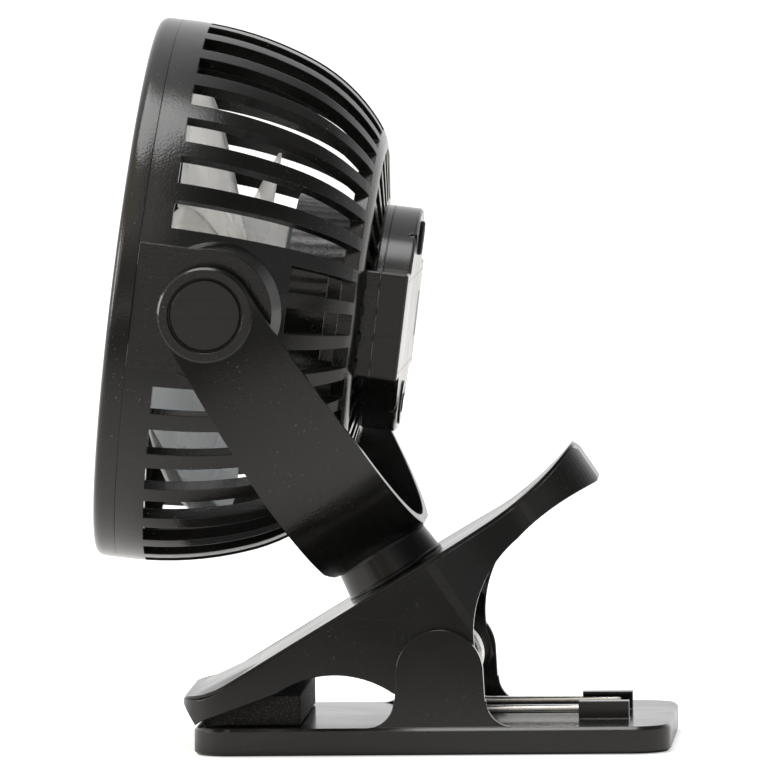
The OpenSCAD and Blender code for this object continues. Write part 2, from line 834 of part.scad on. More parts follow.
module rear_cover() {
  inside_u = back_u - 1.5;
  color(shell_black) in_head() difference() {
    union() {
      translate([0, 0, seam_u]) cylinder(h = back_u - seam_u - bevel, r = pod_r);
      translate([0, 0, back_u - bevel]) cylinder(h = bevel, r1 = pod_r, r2 = pod_r - bevel);
      translate([0, 0, seam_u]) linear_extrude(back_u - seam_u - bevel)
        round_rect(box_x, box_y, 0.8);
      across_box();
      translate([0, usb_y, seam_u]) cylinder(h = back_u - seam_u + 0.5, r = 5.8);
    }
    translate([0, 0, seam_u - 1]) linear_extrude(inside_u - seam_u + 1) difference() {
      cover_outline(wall);
      for (sx = [-1, 1]) for (sy = [-1, 1])
        translate([sx * cover_screw_x, sy * cover_screw_y]) circle(3.4);
    }
    // battery opening and the door's rebate, which runs out at one end
    translate([0, 0, inside_u - 1]) linear_extrude(5)
      square([cell_l + 3.4, 2 * cell_r + 0.8], center = true);
    translate([-37.1, -12.1, back_u - 1.05]) cube([90, 24.2, 3]);
    translate([0, button_y, inside_u - 1]) cylinder(h = 5, r = button_r + 0.12);
    translate([0, usb_y, inside_u - 8]) linear_extrude(12) round_rect(8, 3, 0.9);
    translate([0, usb_y, back_u - 0.1]) linear_extrude(3) round_rect(9.4, 5, 1.6);
    translate([9, -19.6, inside_u - 1]) cylinder(h = 5, r = 1.25);
    for (sx = [-1, 1]) for (sy = [-1, 1]) {
      translate([sx * cover_screw_x, sy * cover_screw_y, seam_u - 1]) cylinder(h = 12, r = 1.25);
      translate([sx * cover_screw_x, sy * cover_screw_y, back_u - 2]) cylinder(h = 5, r = 2.4);
    }
  }
}

// The chamfered back of the battery box.
module across_box() {
  translate([0, 0, back_u - bevel]) intersection() {
    rotate([90, 0, 0]) translate([0, 0, -box_y / 2]) linear_extrude(box_y) bevel_end(box_x / 2);
    across(box_x) bevel_end(box_y / 2);
  }
}

module bevel_end(half) {
  polygon([[-half, 0], [half, 0], [half - bevel, bevel], [bevel - half, bevel]]);
}

// Slides out sideways over the cell. Three grooves give the thumb a hold.
module battery_door() {
  color(shell_black) in_head() difference() {
    translate([-37, -12, back_u - 0.95]) cube([box_x / 2 + 37 - 1, 24, 0.95]);
    for (k = [0 : 2]) translate([27 + 3 * k, -6, back_u - 0.4]) cube([1.2, 12, 2]);
  }
}

module cover_screws() {
  color(steel) in_head()
    for (sx = [-1, 1]) for (sy = [-1, 1]) {
      translate([sx * cover_screw_x, sy * cover_screw_y, back_u - 1.9]) cylinder(h = 1.4, r = 2.2);
      translate([sx * cover_screw_x, sy * cover_screw_y, seam_u]) cylinder(h = back_u - seam_u - 1.8, r = 1.2);
    }
}

// ---------------------------------------------------------------- tilt joint

module tilt_screws() {
  color(steel) in_head() translate([0, 0, pivot_u])
    for (s = [-1, 1]) mirror([s < 0 ? 1 : 0, 0, 0]) {
      bar_x(64, side_face + 0.1, 1.65);
      bar_x(side_face, pocket_x + 0.1, 4.03);
      bar_x(pocket_x + 0.1, pocket_x + 1.5, 6);
    }
}

module tilt_washers() {
  color(steel) in_head() translate([0, 0, pivot_u])
    for (s = [-1, 1]) mirror([s < 0 ? 1 : 0, 0, 0]) difference() {
      bar_x(side_face, side_face + 0.3, 11.5);
      bar_x(side_face - 1, side_face + 1, 4.1);
    }
}

// ---------------------------------------------------------------- motor and rotor

module motor_can() {
  color(steel) in_head() difference() {
    translate([0, 0, pod_u + wall]) cylinder(h = 8.6, r = motor_r);
    translate([0, 0, pod_u]) cylinder(h = 20, r = 1.2);
    for (s = [-1, 1]) translate([s * 8, 0, pod_u]) cylinder(h = 6, r = 1.02);
  }
}

module motor_end_cap() {
  color("#e8e6df") in_head() difference() {
    translate([0, 0, pod_u + wall + 8.6]) cylinder(h = 2.2, r = motor_r - 0.4);
    translate([0, 0, pod_u]) cylinder(h = 11.4, r = 1.2);
  }
}

module motor_bushing() {
  color(brass) in_head() difference() {
    translate([0, 0, pod_u - 0.3]) cylinder(h = wall + 0.3, r = 3);
    translate([0, 0, pod_u - 1]) cylinder(h = 6, r = 1.05);
  }
}

module motor_screws() {
  color(steel) in_head() for (s = [-1, 1]) translate([s * 8, 0, 0]) {
    translate([0, 0, pod_u + 0.1]) cylinder(h = 0.9, r = 1.9);
    translate([0, 0, pod_u + 0.9]) cylinder(h = 4, r = 1);
  }
}

module motor_shaft() {
  color(steel) in_head() translate([0, 0, 22]) cylinder(h = 24.6, r = 1);
}

// One blade: a helical sheet. s runs along the chord from -1 in front to 1 behind, and t
// along the radius from 0 to 1. Its outer corners are round and its edges thin.
chord_steps = 14;
spans = [0, 0.22, 0.44, 0.66, 0.84, 0.91, 0.96, 0.985, 1];
span_steps = len(spans) - 1;
blade_r0 = hub_r - 1.2;
half_chord = 37.7;
blade_mid = 16;
blade_rise = 11.7;
first_blade = 125.6;
function corner(t) = t < 0.84 ? 1 : 1 - 0.13 * (1 - sqrt(max(0, 1 - pow((t - 0.84) / 0.16, 2))));
function blade_point(t, s, side) =
  let (
    r = blade_r0 + (blade_r - blade_r0) * t,
    a = first_blade + s * half_chord * corner(t),
    skin = 0.3 + 0.7 * (1 - s * s),
    u = blade_mid + s * blade_rise * corner(t) - 0.8 * (1 - s * s)
        + side * skin * blade_t * (1 - 0.35 * t) / 2
  )
  [r * cos(a), r * sin(a), u];

module blade() {
  row = chord_steps + 1;
  page = row * (span_steps + 1);
  points = [
    for (side = [-1, 1]) for (i = [0 : span_steps]) for (j = [0 : chord_steps])
      blade_point(spans[i], 2 * j / chord_steps - 1, side)
  ];
  function id(p, i, j) = p * page + i * row + j;
  faces = concat(
    [for (i = [0 : span_steps - 1]) for (j = [0 : chord_steps - 1]) each [
      [id(0, i, j), id(0, i + 1, j), id(0, i + 1, j + 1)],
      [id(0, i, j), id(0, i + 1, j + 1), id(0, i, j + 1)],
      [id(1, i, j), id(1, i + 1, j + 1), id(1, i + 1, j)],
      [id(1, i, j), id(1, i, j + 1), id(1, i + 1, j + 1)]
    ]],
    [for (i = [0 : span_steps - 1]) each [
      [id(0, i, 0), id(1, i, 0), id(1, i + 1, 0)],
      [id(0, i, 0), id(1, i + 1, 0), id(0, i + 1, 0)],
      [id(0, i, chord_steps), id(1, i + 1, chord_steps), id(1, i, chord_steps)],
      [id(0, i, chord_steps), id(0, i + 1, chord_steps), id(1, i + 1, chord_steps)]
    ]],
    [for (j = [0 : chord_steps - 1]) each [
      [id(0, 0, j), id(1, 0, j + 1), id(1, 0, j)],
      [id(0, 0, j), id(0, 0, j + 1), id(1, 0, j + 1)],
      [id(0, span_steps, j), id(1, span_steps, j), id(1, span_steps, j + 1)],
      [id(0, span_steps, j), id(1, span_steps, j + 1), id(0, span_steps, j + 1)]
    ]]
  );
  polyhedron(points, faces, convexity = 6);
}

module fan_blades() {
  color(blade_tint) in_head() difference() {
    union() {
      rotate_extrude() polygon([
        [0, hub_u0], [hub_r - 3, hub_u0], [hub_r - 1, hub_u0 + 0.8], [hub_r, hub_u0 + 2.6],
        [hub_r, hub_u1], [hub_r - 1.6, hub_u1], [hub_r - 1.6, hub_u0 + 3], [4, hub_u0 + 3],
        [4, hub_u1 - 2], [0, hub_u1 - 2]
      ]);
      for (k = [0 : blade_n - 1]) rotate(360 * k / blade_n) blade();
    }
    translate([0, 0, 22]) cylinder(h = 20, r = 1);
  }
}

// ---------------------------------------------------------------- battery and electronics

module battery_cell() {
  color("#3f6fb0") in_head() translate([0, 0, cell_u]) {
    bar_x(-cell_l / 2, cell_l / 2, cell_r);
    bar_x(cell_l / 2, cell_l / 2 + 0.8, 3);
  }
}

module battery_contacts() {
  end = cell_l / 2 + 1.65;
  color(steel) in_head() translate([0, 0, cell_u]) {
    translate([end - 0.4, -5, -5]) cube([0.4, 10, 10]);
    translate([-end, -5, -5]) cube([0.4, 10, 10]);
    bar_x(-end + 0.4, -cell_l / 2, 3.5);
  }
}

module board_outline(y0) {
  intersection() {
    circle(pod_r - wall - 1);
    translate([-13, y0]) square([26, 14.4]);
  }
}

module control_board() {
  color(board_green) in_head() translate([0, 0, 62.4]) linear_extrude(1.2) board_outline(13.2);
}

module charge_board() {
  color(board_green) in_head() translate([0, 0, 62.4]) linear_extrude(1.2)
    mirror([0, 1]) board_outline(13.2);
}

module button_switch() {
  color("#d8d8d8") in_head() translate([-3, button_y - 3, 63.6]) cube([6, 6, 1.7]);
}

module speed_button() {
  color(pad_black) in_head() translate([0, button_y, 0]) rotate_extrude() polygon([
    [0, 66.5], [button_r + 0.9, 66.5], [button_r + 0.9, 67.3], [button_r, 67.3],
    [button_r, back_u + 0.6], [button_r - 0.3, back_u + 0.9], [0, back_u + 1.05]
  ]);
}

module usb_socket() {
  color(steel) in_head() translate([0, usb_y, 63.6]) difference() {
    linear_extrude(5.5) round_rect(7.9, 2.9, 0.85);
    translate([0, 0, 1]) linear_extrude(8) round_rect(7.1, 2.1, 0.6);
  }
}

module status_led() {
  color("#e9f3f0") in_head() translate([9, -19.6, 63.6]) cylinder(h = back_u - 63.6, r = 1.2);
}

// ---------------------------------------------------------------- drawing

base();
base_feet();
hinge_pin();
torsion_spring_left();
torsion_spring_right();
upper_jaw();
jaw_top_cover();
pad_carrier();
grip_pad();
yoke();
swivel_knuckle();
swivel_washer();
swivel_screw();
pivot_caps();
front_grille();
grille_cap();
rear_cage();
rear_cover();
battery_door();
tilt_screws();
tilt_washers();
cover_screws();
motor_can();
motor_end_cap();
motor_bushing();
motor_screws();
motor_shaft();
fan_blades();
battery_cell();
battery_contacts();
control_board();
charge_board();
button_switch();
speed_button();
usb_socket();
status_led();
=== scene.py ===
"""Clip-on camping fan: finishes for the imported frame, and the pieces that need fine surfaces.

The sidebar panel runs each step by itself. Run as a script, it does them all in order.
Everything is in metres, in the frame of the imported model: +Z up, the fan blows towards -Y.
Bare sizes are in millimetres until MM turns them to metres.
"""
import json
import math

import bpy
import numpy as np
from bpy.props import FloatProperty, FloatVectorProperty, IntProperty, PointerProperty
from mathutils import Matrix, Vector


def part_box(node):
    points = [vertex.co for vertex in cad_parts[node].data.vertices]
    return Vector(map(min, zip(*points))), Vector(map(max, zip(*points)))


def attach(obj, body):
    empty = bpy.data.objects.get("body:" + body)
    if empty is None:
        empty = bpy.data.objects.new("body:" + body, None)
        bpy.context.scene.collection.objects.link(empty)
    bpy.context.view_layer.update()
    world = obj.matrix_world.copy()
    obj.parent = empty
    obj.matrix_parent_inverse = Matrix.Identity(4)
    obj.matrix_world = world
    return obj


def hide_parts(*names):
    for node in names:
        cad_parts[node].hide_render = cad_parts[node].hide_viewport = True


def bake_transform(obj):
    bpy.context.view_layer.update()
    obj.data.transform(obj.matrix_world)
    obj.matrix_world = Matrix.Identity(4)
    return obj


bl_info = {
    "name": "Clip-on camping fan",
    "version": (1, 0, 0),
    "blender": (4, 5, 0),
    "location": "3D View > Sidebar > Fan",
    "description": "Finishes and fine pieces of a clip-on camping fan",
    "category": "Object",
}

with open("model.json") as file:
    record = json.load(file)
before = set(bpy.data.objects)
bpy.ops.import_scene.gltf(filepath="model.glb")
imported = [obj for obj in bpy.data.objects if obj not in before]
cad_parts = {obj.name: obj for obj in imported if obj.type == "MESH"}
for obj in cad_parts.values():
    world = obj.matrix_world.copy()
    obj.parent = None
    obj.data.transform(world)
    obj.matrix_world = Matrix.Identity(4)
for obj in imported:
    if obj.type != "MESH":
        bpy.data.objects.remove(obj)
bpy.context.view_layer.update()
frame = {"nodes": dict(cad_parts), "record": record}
MM = 0.001


def linear(hex_colour):
    """One sRGB hex colour as linear red, green and blue."""
    channels = [int(hex_colour[i:i + 2], 16) / 255 for i in (1, 3, 5)]
    return tuple(c / 12.92 if c <= 0.04045 else ((c + 0.055) / 1.055) ** 2.4 for c in channels)


# ------------------------------------------------------------------ sizes and colours

class FanSizes(bpy.types.PropertyGroup):
    wire_d: FloatProperty(name="Spring wire", description="Diameter of the spring wire",
                          default=2.3 * MM, unit="LENGTH", precision=4)
    coil_r: FloatProperty(name="Coil radius",
                          description="Radius of the coil to the wire's middle",
                          default=7.9 * MM, unit="LENGTH", precision=4)
    coil_turns: IntProperty(name="Coil turns", description="Turns in each torsion spring",
                            default=4)
    blade_n: IntProperty(name="Blades", description="Number of fan blades", default=3)
    blade_r: FloatProperty(name="Blade radius", description="Radius of the blade tips",
                           default=58 * MM, unit="LENGTH", precision=4)
    blade_t: FloatProperty(name="Blade thickness", description="Thickness at a blade's middle",
                           default=1.6 * MM, unit="LENGTH", precision=4)
    ribs: IntProperty(name="Grille ribs", description="Curved ribs in the front grille", default=36)


class FanColours(bpy.types.PropertyGroup):
    shell: FloatVectorProperty(name="Shell", description="Moulded black ABS", subtype="COLOR",
                               default=linear("#131312"), min=0, max=1)
    foam: FloatVectorProperty(name="Foam", description="Grip pad foam", subtype="COLOR",
                              default=linear("#1c1c1d"), min=0, max=1)
    blade: FloatVectorProperty(name="Blade", description="Translucent blade plastic",
                               subtype="COLOR", default=linear("#f1f5f5"), min=0, max=1)
    wire: FloatVectorProperty(name="Wire", description="Bright spring wire", subtype="COLOR",
                              default=linear("#ecebe7"), min=0, max=1)
    floor: FloatVectorProperty(name="Floor", description="Floor and backdrop", subtype="COLOR",
                               default=linear("#f4f4f4"), min=0, max=1)


def sizes():
    return bpy.context.scene.fan_sizes


def colours():
    return bpy.context.scene.fan_colours


# ------------------------------------------------------------------ frames of the fan

TILT = math.radians(7.5)            # the head leans back
SLOPE = math.radians(31.1)          # the jaw's top climbs to the rear
SWIVEL_Y, SWIVEL_Z = -10.6, 44.95
PIVOT_H, PIVOT_U = 86.6, 19.6       # the tilt axis: above the swivel, and behind the head's zero
PIVOT = np.array([0, SWIVEL_Y - PIVOT_H * math.sin(SLOPE),
                  SWIVEL_Z + PIVOT_H * math.cos(SLOPE)]) * MM
HEAD_X = np.array([-1, 0, 0])
HEAD_Y = np.array([0, math.sin(TILT), math.cos(TILT)])
HEAD_Z = np.array([0, math.cos(TILT), -math.sin(TILT)])


def from_head(points_mm):
    """Head frame to fan frame: x right seen from behind, y up, z rearwards, in millimetres."""
    p = np.asarray(points_mm, float) * MM
    return (PIVOT + p[..., 0:1] * HEAD_X + p[..., 1:2] * HEAD_Y
            + (p[..., 2:3] - PIVOT_U * MM) * HEAD_Z)


# ------------------------------------------------------------------ surfaces

def grid_quads(rows, cols):
    """Corner numbers of the quads between rows of points; each row closes on itself."""
    i, j = np.meshgrid(np.arange(rows - 1), np.arange(cols), indexing="ij")
    k = (j + 1) % cols
    quads = np.stack([i * cols + j, i * cols + k, (i + 1) * cols + k, (i + 1) * cols + j], -1)
    return quads.reshape(-1, 4)


NO_TRIS = np.zeros((0, 3), int)


def outward(points, quads, tris):
    """The same closed surface with its faces outwards: they are turned where the volume under
    its triangles, by the triple product of their corners, comes out negative."""
    t = np.concatenate([quads[:, [0, 1, 2]], quads[:, [0, 2, 3]], tris]).astype(int)
    a, b, c = ((points - points.mean(0))[t[:, i]] for i in range(3))
    if np.einsum("ij,ij->i", a, np.cross(b, c)).sum() < 0:
        return points, quads[:, ::-1], tris[:, ::-1]
    return points, quads, tris


def closed_tube(rings):
    """A tube through closed rings; each end closes in a fan about its ring's middle."""
    rows, cols, _ = rings.shape
    points = np.concatenate([rings.reshape(-1, 3), rings[:1].mean(1), rings[-1:].mean(1)])
    around = np.arange(cols)
    following = (around + 1) % cols
    low, high = np.full(cols, rows * cols), np.full(cols, rows * cols + 1)
    last = (rows - 1) * cols
    caps = np.concatenate([np.stack([following, around, low], -1),
                           np.stack([last + around, last + following, high], -1)])
    return outward(points, grid_quads(rows, cols), caps)


def endless_tube(rings):
    """A tube through closed rings whose last ring meets the first."""
    rows, cols, _ = rings.shape
    quads = grid_quads(rows + 1, cols) % (rows * cols)
    return outward(rings.reshape(-1, 3), quads, NO_TRIS)


def joined(parts):
    """Several surfaces as one set of points, quads and triangles."""
    points, quads, tris, base = [], [], [], 0
    for p, q, t in parts:
        points.append(p)
        quads.append(q + base)
        tris.append(t + base)
        base += len(p)
    return np.concatenate(points), np.concatenate(quads), np.concatenate(tris)


def piece(name, surface, material, body, sharp=0.7):
    """A mesh object from one surface, smooth but for edges sharper than the angle given."""
    points, quads, tris = surface
    mesh = bpy.data.meshes.new(name)
    corners = np.concatenate([quads.ravel(), tris.ravel()]).astype(np.int32)
    counts = np.concatenate([np.full(len(quads), 4), np.full(len(tris), 3)]).astype(np.int32)
    mesh.vertices.add(len(points))
    mesh.loops.add(len(corners))
    mesh.polygons.add(len(counts))
    mesh.vertices.foreach_set("co", points.astype(np.float32).ravel())
    mesh.loops.foreach_set("vertex_index", corners)
    mesh.polygons.foreach_set("loop_start", np.concatenate([[0], np.cumsum(counts)[:-1]]))
    mesh.polygons.foreach_set("use_smooth", np.ones(len(counts), bool))
    mesh.update(calc_edges=True)
    mesh.validate()
    mesh.set_sharp_from_angle(angle=sharp)
    mesh.materials.append(material)
    obj = bpy.data.objects.new(name, mesh)
    bpy.context.scene.collection.objects.link(obj)
    if body:
        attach(obj, body)
    return obj


def swept_wire(path, radius, sides=20):
    """A round wire along a path: each ring stands square to the path, and its first side is
    carried from ring to ring by taking out what leans along the path. At both ends rings of
    less radius stand out by a quarter of it, so the cut wire is a little dished."""
    along = np.gradient(path, axis=0)
    along /= np.linalg.norm(along, axis=1)[:, None]
    side = np.empty_like(path)
    normal = np.array([1.0, 0, 0])
    for i, direction in enumerate(along):
        normal = normal - direction * (normal @ direction)
        normal /= np.linalg.norm(normal)
        side[i] = normal
    other = np.cross(along, side)
    angle = np.linspace(0, 2 * math.pi, sides, endpoint=False)[:, None]
    ring = np.cos(angle) * side[:, None] + np.sin(angle) * other[:, None]
    less = radius * np.array([0.35, 0.75, 0.95])[:, None, None]
    start = path[0] + less * (ring[0] - along[0] / 4)
    end = path[-1] + less[::-1] * (ring[-1] + along[-1] / 4)
    return closed_tube(np.concatenate([start, path[:, None] + radius * ring, end]))


def turned(profile, steps):
    """Rings of a profile of radius and depth turned about the head's axis."""
    angle = np.linspace(0, 2 * math.pi, steps, endpoint=False)
    r, u = np.asarray(profile, float).T
    return from_head(np.stack([r[:, None] * np.cos(angle), r[:, None] * np.sin(angle),
                               np.broadcast_to(u[:, None], (len(u), steps))], -1))


def spaced(rings, count):
    """Tubes through the same rings, turned evenly about the head's axis."""
    tubes = []
    for turn in 2 * math.pi * np.arange(count) / count:
        c, s = math.cos(turn), math.sin(turn)
        spun = rings @ np.array([[c, s, 0], [-s, c, 0], [0, 0, 1]])
        tubes.append(closed_tube(from_head(spun)))
    return tubes


def arc(centre, radius, start, end, points=14):
    """Points evenly round a centre, from one angle in degrees to another."""
    a = np.radians(np.linspace(start, end, points))
    return np.stack([centre[0] + radius * np.cos(a), centre[1] + radius * np.sin(a)], -1)


def rounded(corners, steps=5):
    """A closed outline of corners, each x, y and its radius. A corner is cut where a circle of
    that radius would touch its sides, and a parabola joins the cuts."""
    out = []
    for i, (x, y, r) in enumerate(corners):
        here = np.array([x, y], float)
        before = np.array(corners[i - 1][:2], float) - here
        after = np.array(corners[(i + 1) % len(corners)][:2], float) - here
        la, lb = np.linalg.norm(before), np.linalg.norm(after)
        before, after = before / la, after / lb
        if r <= 0:
            out.append(here[None])
            continue
        half = math.acos(max(-1, min(1, before @ after))) / 2
        cut = min(r / math.tan(half), 0.49 * la, 0.49 * lb)
        t = np.linspace(0, 1, steps + 1)[:, None]
        a, b = here + before * cut, here + after * cut
        out.append((1 - t) ** 2 * a + 2 * t * (1 - t) * here + t ** 2 * b)
    return np.concatenate(out)


def lengths(line):
    """How far along a line each of its points is."""
    return np.concatenate([[0], np.cumsum(np.linalg.norm(np.diff(line, axis=0), axis=1))])


def between(at, places, rows):
    """Rows known at some places, read in a straight line between them."""
    return np.stack([np.interp(at, places, column) for column in rows.T], -1)


# ------------------------------------------------------------------ materials

def feed(tree, socket, value):
    """Sets an input, or links it to an output socket or to a node's first live output."""
    if isinstance(value, bpy.types.Node):
        value = next(s for s in value.outputs if s.enabled)
    if isinstance(value, bpy.types.NodeSocket):
        tree.links.new(value, socket)
    else:
        socket.default_value = value


def add(tree, kind, inputs=(), **settings):
    """One node with its settings and its inputs, which come in order or by name or number."""
    node = tree.nodes.new("ShaderNode" + kind)
    for key, value in settings.items():
        setattr(node, key, value)
    for key, value in inputs.items() if isinstance(inputs, dict) else enumerate(inputs):
        feed(tree, node.inputs[key], value)
    return node


def fresh(name, **constants):
    """A material with its shader's constants set, its node tree and its object coordinates."""
    material = bpy.data.materials.get(name)
    if material:
        bpy.data.materials.remove(material)
    material = bpy.data.materials.new(name)
    material.use_nodes = True
    tree = material.node_tree
    for key, value in constants.items():
        feed(tree, tree.nodes["Principled BSDF"].inputs[key.replace("_", " ")], value)
    return material, tree, add(tree, "TexCoord").outputs["Object"]


def dressed(material, tone, rough, height, depth_mm, edge_mm=0.0):
    """The material with its colour, its roughness, and bumps of the real depth over edges
    rounded to edge_mm."""
    tree = material.node_tree
    bump = {"Height": height, "Distance": depth_mm * MM, "Strength": 1.0}
    if edge_mm:
        bump["Normal"] = add(tree, "Bevel", {"Radius": edge_mm * MM}, samples=4)
    values = {"Base Color": tone, "Roughness": rough, "Normal": add(tree, "Bump", bump)}
    for name, value in values.items():
        feed(tree, tree.nodes["Principled BSDF"].inputs[name], value)
    return material


def rgba(colour, shade=1.0):
    """A linear colour made darker or lighter, with its alpha."""
    return tuple(min(1, c * shade) for c in colour) + (1,)


def per_mm(size_mm):
    """The scale at which a pattern's cells are about this wide."""
    return 1 / (size_mm * MM)


def moulded_abs(name, colour, edge_mm=0.55, base_rough=0.16, grain_mm=0.55, depth_mm=0.004,
                dusty=0.4):
    """Black ABS from a spark-eroded mould: an even satin with a fine grain, faint flow marks,
    a few specks of dust and light scuffs. The grain is drawn coarser than real to show."""
    material, tree, place = fresh(name, IOR=1.53, Specular_IOR_Level=0.5)
    flow = add(tree, "TexNoise", {"Vector": place, "Scale": per_mm(26), "Detail": 2})
    dust = add(tree, "TexNoise", {"Vector": place, "Scale": per_mm(0.6), "Detail": 1})
    patch = add(tree, "TexNoise", {"Vector": place, "Scale": per_mm(18), "Detail": 2})
    dust = add(tree, "MapRange", (dust, 0.72, 0.77, 0, 1))
    patch = add(tree, "MapRange", (patch, 0.45, 0.6, 0, dusty))
    specks = add(tree, "Math", (dust, patch), operation="MULTIPLY")
    marks = add(tree, "MapRange", (flow, 0.35, 0.65, 0, 1))
    tone = add(tree, "Mix", {0: marks, 6: rgba(colour, 0.85), 7: rgba(colour, 1.2)},
               data_type="RGBA")
    tone = add(tree, "Mix", {0: specks, 6: tone, 7: rgba(linear("#6d6a63"))}, data_type="RGBA")
    stretched = add(tree, "Mapping", {"Vector": place, "Rotation": (0.5, 0.3, 0.9),
                                      "Scale": (1, 0.06, 1)})
    scuff = add(tree, "TexNoise", {"Vector": stretched, "Scale": per_mm(1.2), "Detail": 3})
    scuff = add(tree, "MapRange", (scuff, 0.6, 0.75, 0, 0.05))
    satin = add(tree, "MapRange", (flow, 0.3, 0.7, base_rough - 0.03, base_rough + 0.04))
    rough = add(tree, "Math", (satin, scuff), operation="ADD")
    grain = add(tree, "TexNoise", {"Vector": place, "Scale": per_mm(grain_mm), "Detail": 2})
    return dressed(material, tone, rough, grain, depth_mm, edge_mm)


def polished_abs(name, colour):
    """ABS from a polished mould: the same black, but it mirrors softly."""
    return moulded_abs(name, colour, edge_mm=0.3, base_rough=0.14, grain_mm=2.0)


def foam_rubber(name, colour):
    """Cut EVA foam: open cells about 0.6 mm wide leave pits and pale crumbs."""
    material, tree, place = fresh(name, IOR=1.45, Specular_IOR_Level=0.4)
    cells = add(tree, "TexVoronoi", {"Vector": place, "Scale": per_mm(0.6), "Randomness": 1.0},
                feature="F1")
    crumbs = add(tree, "TexNoise", {"Vector": place, "Scale": per_mm(0.5), "Detail": 3,
                                    "Roughness": 0.7})
    pale = add(tree, "MapRange", (crumbs, 0.56, 0.72, 0, 1))
    tone = add(tree, "Mix", {0: pale, 6: rgba(colour, 0.7), 7: rgba(linear("#63615c"))},
               data_type="RGBA")
    rough = add(tree, "MapRange", (crumbs, 0.3, 0.7, 0.75, 0.55))
    return dressed(material, tone, rough, cells, 0.16, 0.5)


def soft_rubber(name, colour):
    """Moulded silicone rubber: matt, with a dusty bloom."""
    material, tree, place = fresh(name, IOR=1.41, Specular_IOR_Level=0.4)
    bloom = add(tree, "TexNoise", {"Vector": place, "Scale": per_mm(5), "Detail": 4})
    dusty = add(tree, "MapRange", (bloom, 0.4, 0.7, 0, 1))
    tone = add(tree, "Mix", {0: dusty, 6: rgba(colour), 7: rgba(colour, 1.8)}, data_type="RGBA")
    rough = add(tree, "MapRange", (bloom, 0.3, 0.7, 0.55, 0.7))
    skin = add(tree, "TexNoise", {"Vector": place, "Scale": per_mm(0.4), "Detail": 2})
    return dressed(material, tone, rough, skin, 0.02, 0.3)


def metal(name, colour, roughness, line_mm, axis_scale, edge_mm=0.15):
    """Bare or plated metal: fine turning or drawing lines that stretch along one way."""
    material, tree, place = fresh(name, Metallic=1.0)
    drawn = add(tree, "Mapping", {"Vector": place, "Scale": axis_scale})
    lines = add(tree, "TexNoise", {"Vector": drawn, "Scale": per_mm(line_mm), "Detail": 4})
    bright = add(tree, "MapRange", (lines, 0.35, 0.65, 0, 1))
    tone = add(tree, "Mix", {0: bright, 6: rgba(colour, 0.8), 7: rgba(colour, 1.1)},
               data_type="RGBA")
    rough = add(tree, "MapRange", (lines, 0.3, 0.7, roughness * 0.8, roughness * 1.4))
    return dressed(material, tone, rough, lines, 0.006, edge_mm)


def blade_plastic(name, colour):
    """Natural polypropylene or AS resin, 1.6 mm thick: lets light through, cloudy and cool."""
    material, tree, place = fresh(
        name, IOR=1.49, Specular_IOR_Level=0.5, Transmission_Weight=0.1, Subsurface_Weight=0.6,
        Subsurface_Radius=(0.006, 0.007, 0.008), Subsurface_Scale=1.0)
    cloud = add(tree, "TexNoise", {"Vector": place, "Scale": per_mm(22), "Detail": 3})
    clear = add(tree, "MapRange", (cloud, 0.35, 0.65, 0, 1))
    tone = add(tree, "Mix", {0: clear, 6: rgba(colour, 0.93), 7: rgba(colour, 1.04)},
               data_type="RGBA")
    rough = add(tree, "MapRange", (cloud, 0.3, 0.7, 0.2, 0.32))
    ripple = add(tree, "TexNoise", {"Vector": place, "Scale": per_mm(3), "Detail": 2})
    return dressed(material, tone, rough, ripple, 0.004)


def sleeve(name):
    """PVC shrink sleeve on a cell: glossy, with the faint ripples of shrinking."""
    material, tree, place = fresh(name, IOR=1.53, Specular_IOR_Level=0.5)
    ripple = add(tree, "TexNoise", {"Vector": place, "Scale": per_mm(6), "Detail": 2})
    tone = add(tree, "Mix", {0: ripple, 6: rgba(linear("#2a5ea8")), 7: rgba(linear("#356fc0"))},
               data_type="RGBA")
    rough = add(tree, "MapRange", (ripple, 0.3, 0.7, 0.2, 0.35))
    return dressed(material, tone, rough, ripple, 0.03)


def circuit_board(name):
    """Epoxy glass board under solder mask: green, with straight tracks about 0.4 mm wide."""
    material, tree, place = fresh(name, IOR=1.5, Specular_IOR_Level=0.5)
    black, white = rgba((0, 0, 0)), rgba((1, 1, 1))
    tracks = add(tree, "TexBrick", {"Vector": place, "Scale": per_mm(6), "Mortar Size": 0.03,
                                    "Color1": black, "Color2": black, "Mortar": white},
                 offset=0.5).outputs["Fac"]
    tone = add(tree, "Mix", {0: tracks, 6: rgba(linear("#1f5f3d")), 7: rgba(linear("#3f8a5c"))},
               data_type="RGBA")
    rough = add(tree, "MapRange", (tracks, 0, 1, 0.4, 0.25))
    return dressed(material, tone, rough, tracks, 0.03, 0.1)


def white_moulding(name, colour, roughness=0.45):
    """Nylon or acetal moulding, off-white and waxy."""
    material, tree, place = fresh(name, IOR=1.5, Specular_IOR_Level=0.5)
    flow = add(tree, "TexNoise", {"Vector": place, "Scale": per_mm(8), "Detail": 2})
    tone = add(tree, "Mix", {0: flow, 6: rgba(colour, 0.92), 7: rgba(colour, 1.03)},
               data_type="RGBA")
    rough = add(tree, "MapRange", (flow, 0.3, 0.7, roughness - 0.06, roughness + 0.06))
    skin = add(tree, "TexNoise", {"Vector": place, "Scale": per_mm(0.6), "Detail": 2})
    return dressed(material, tone, rough, skin, 0.01, 0.2)


FINISHES = {}


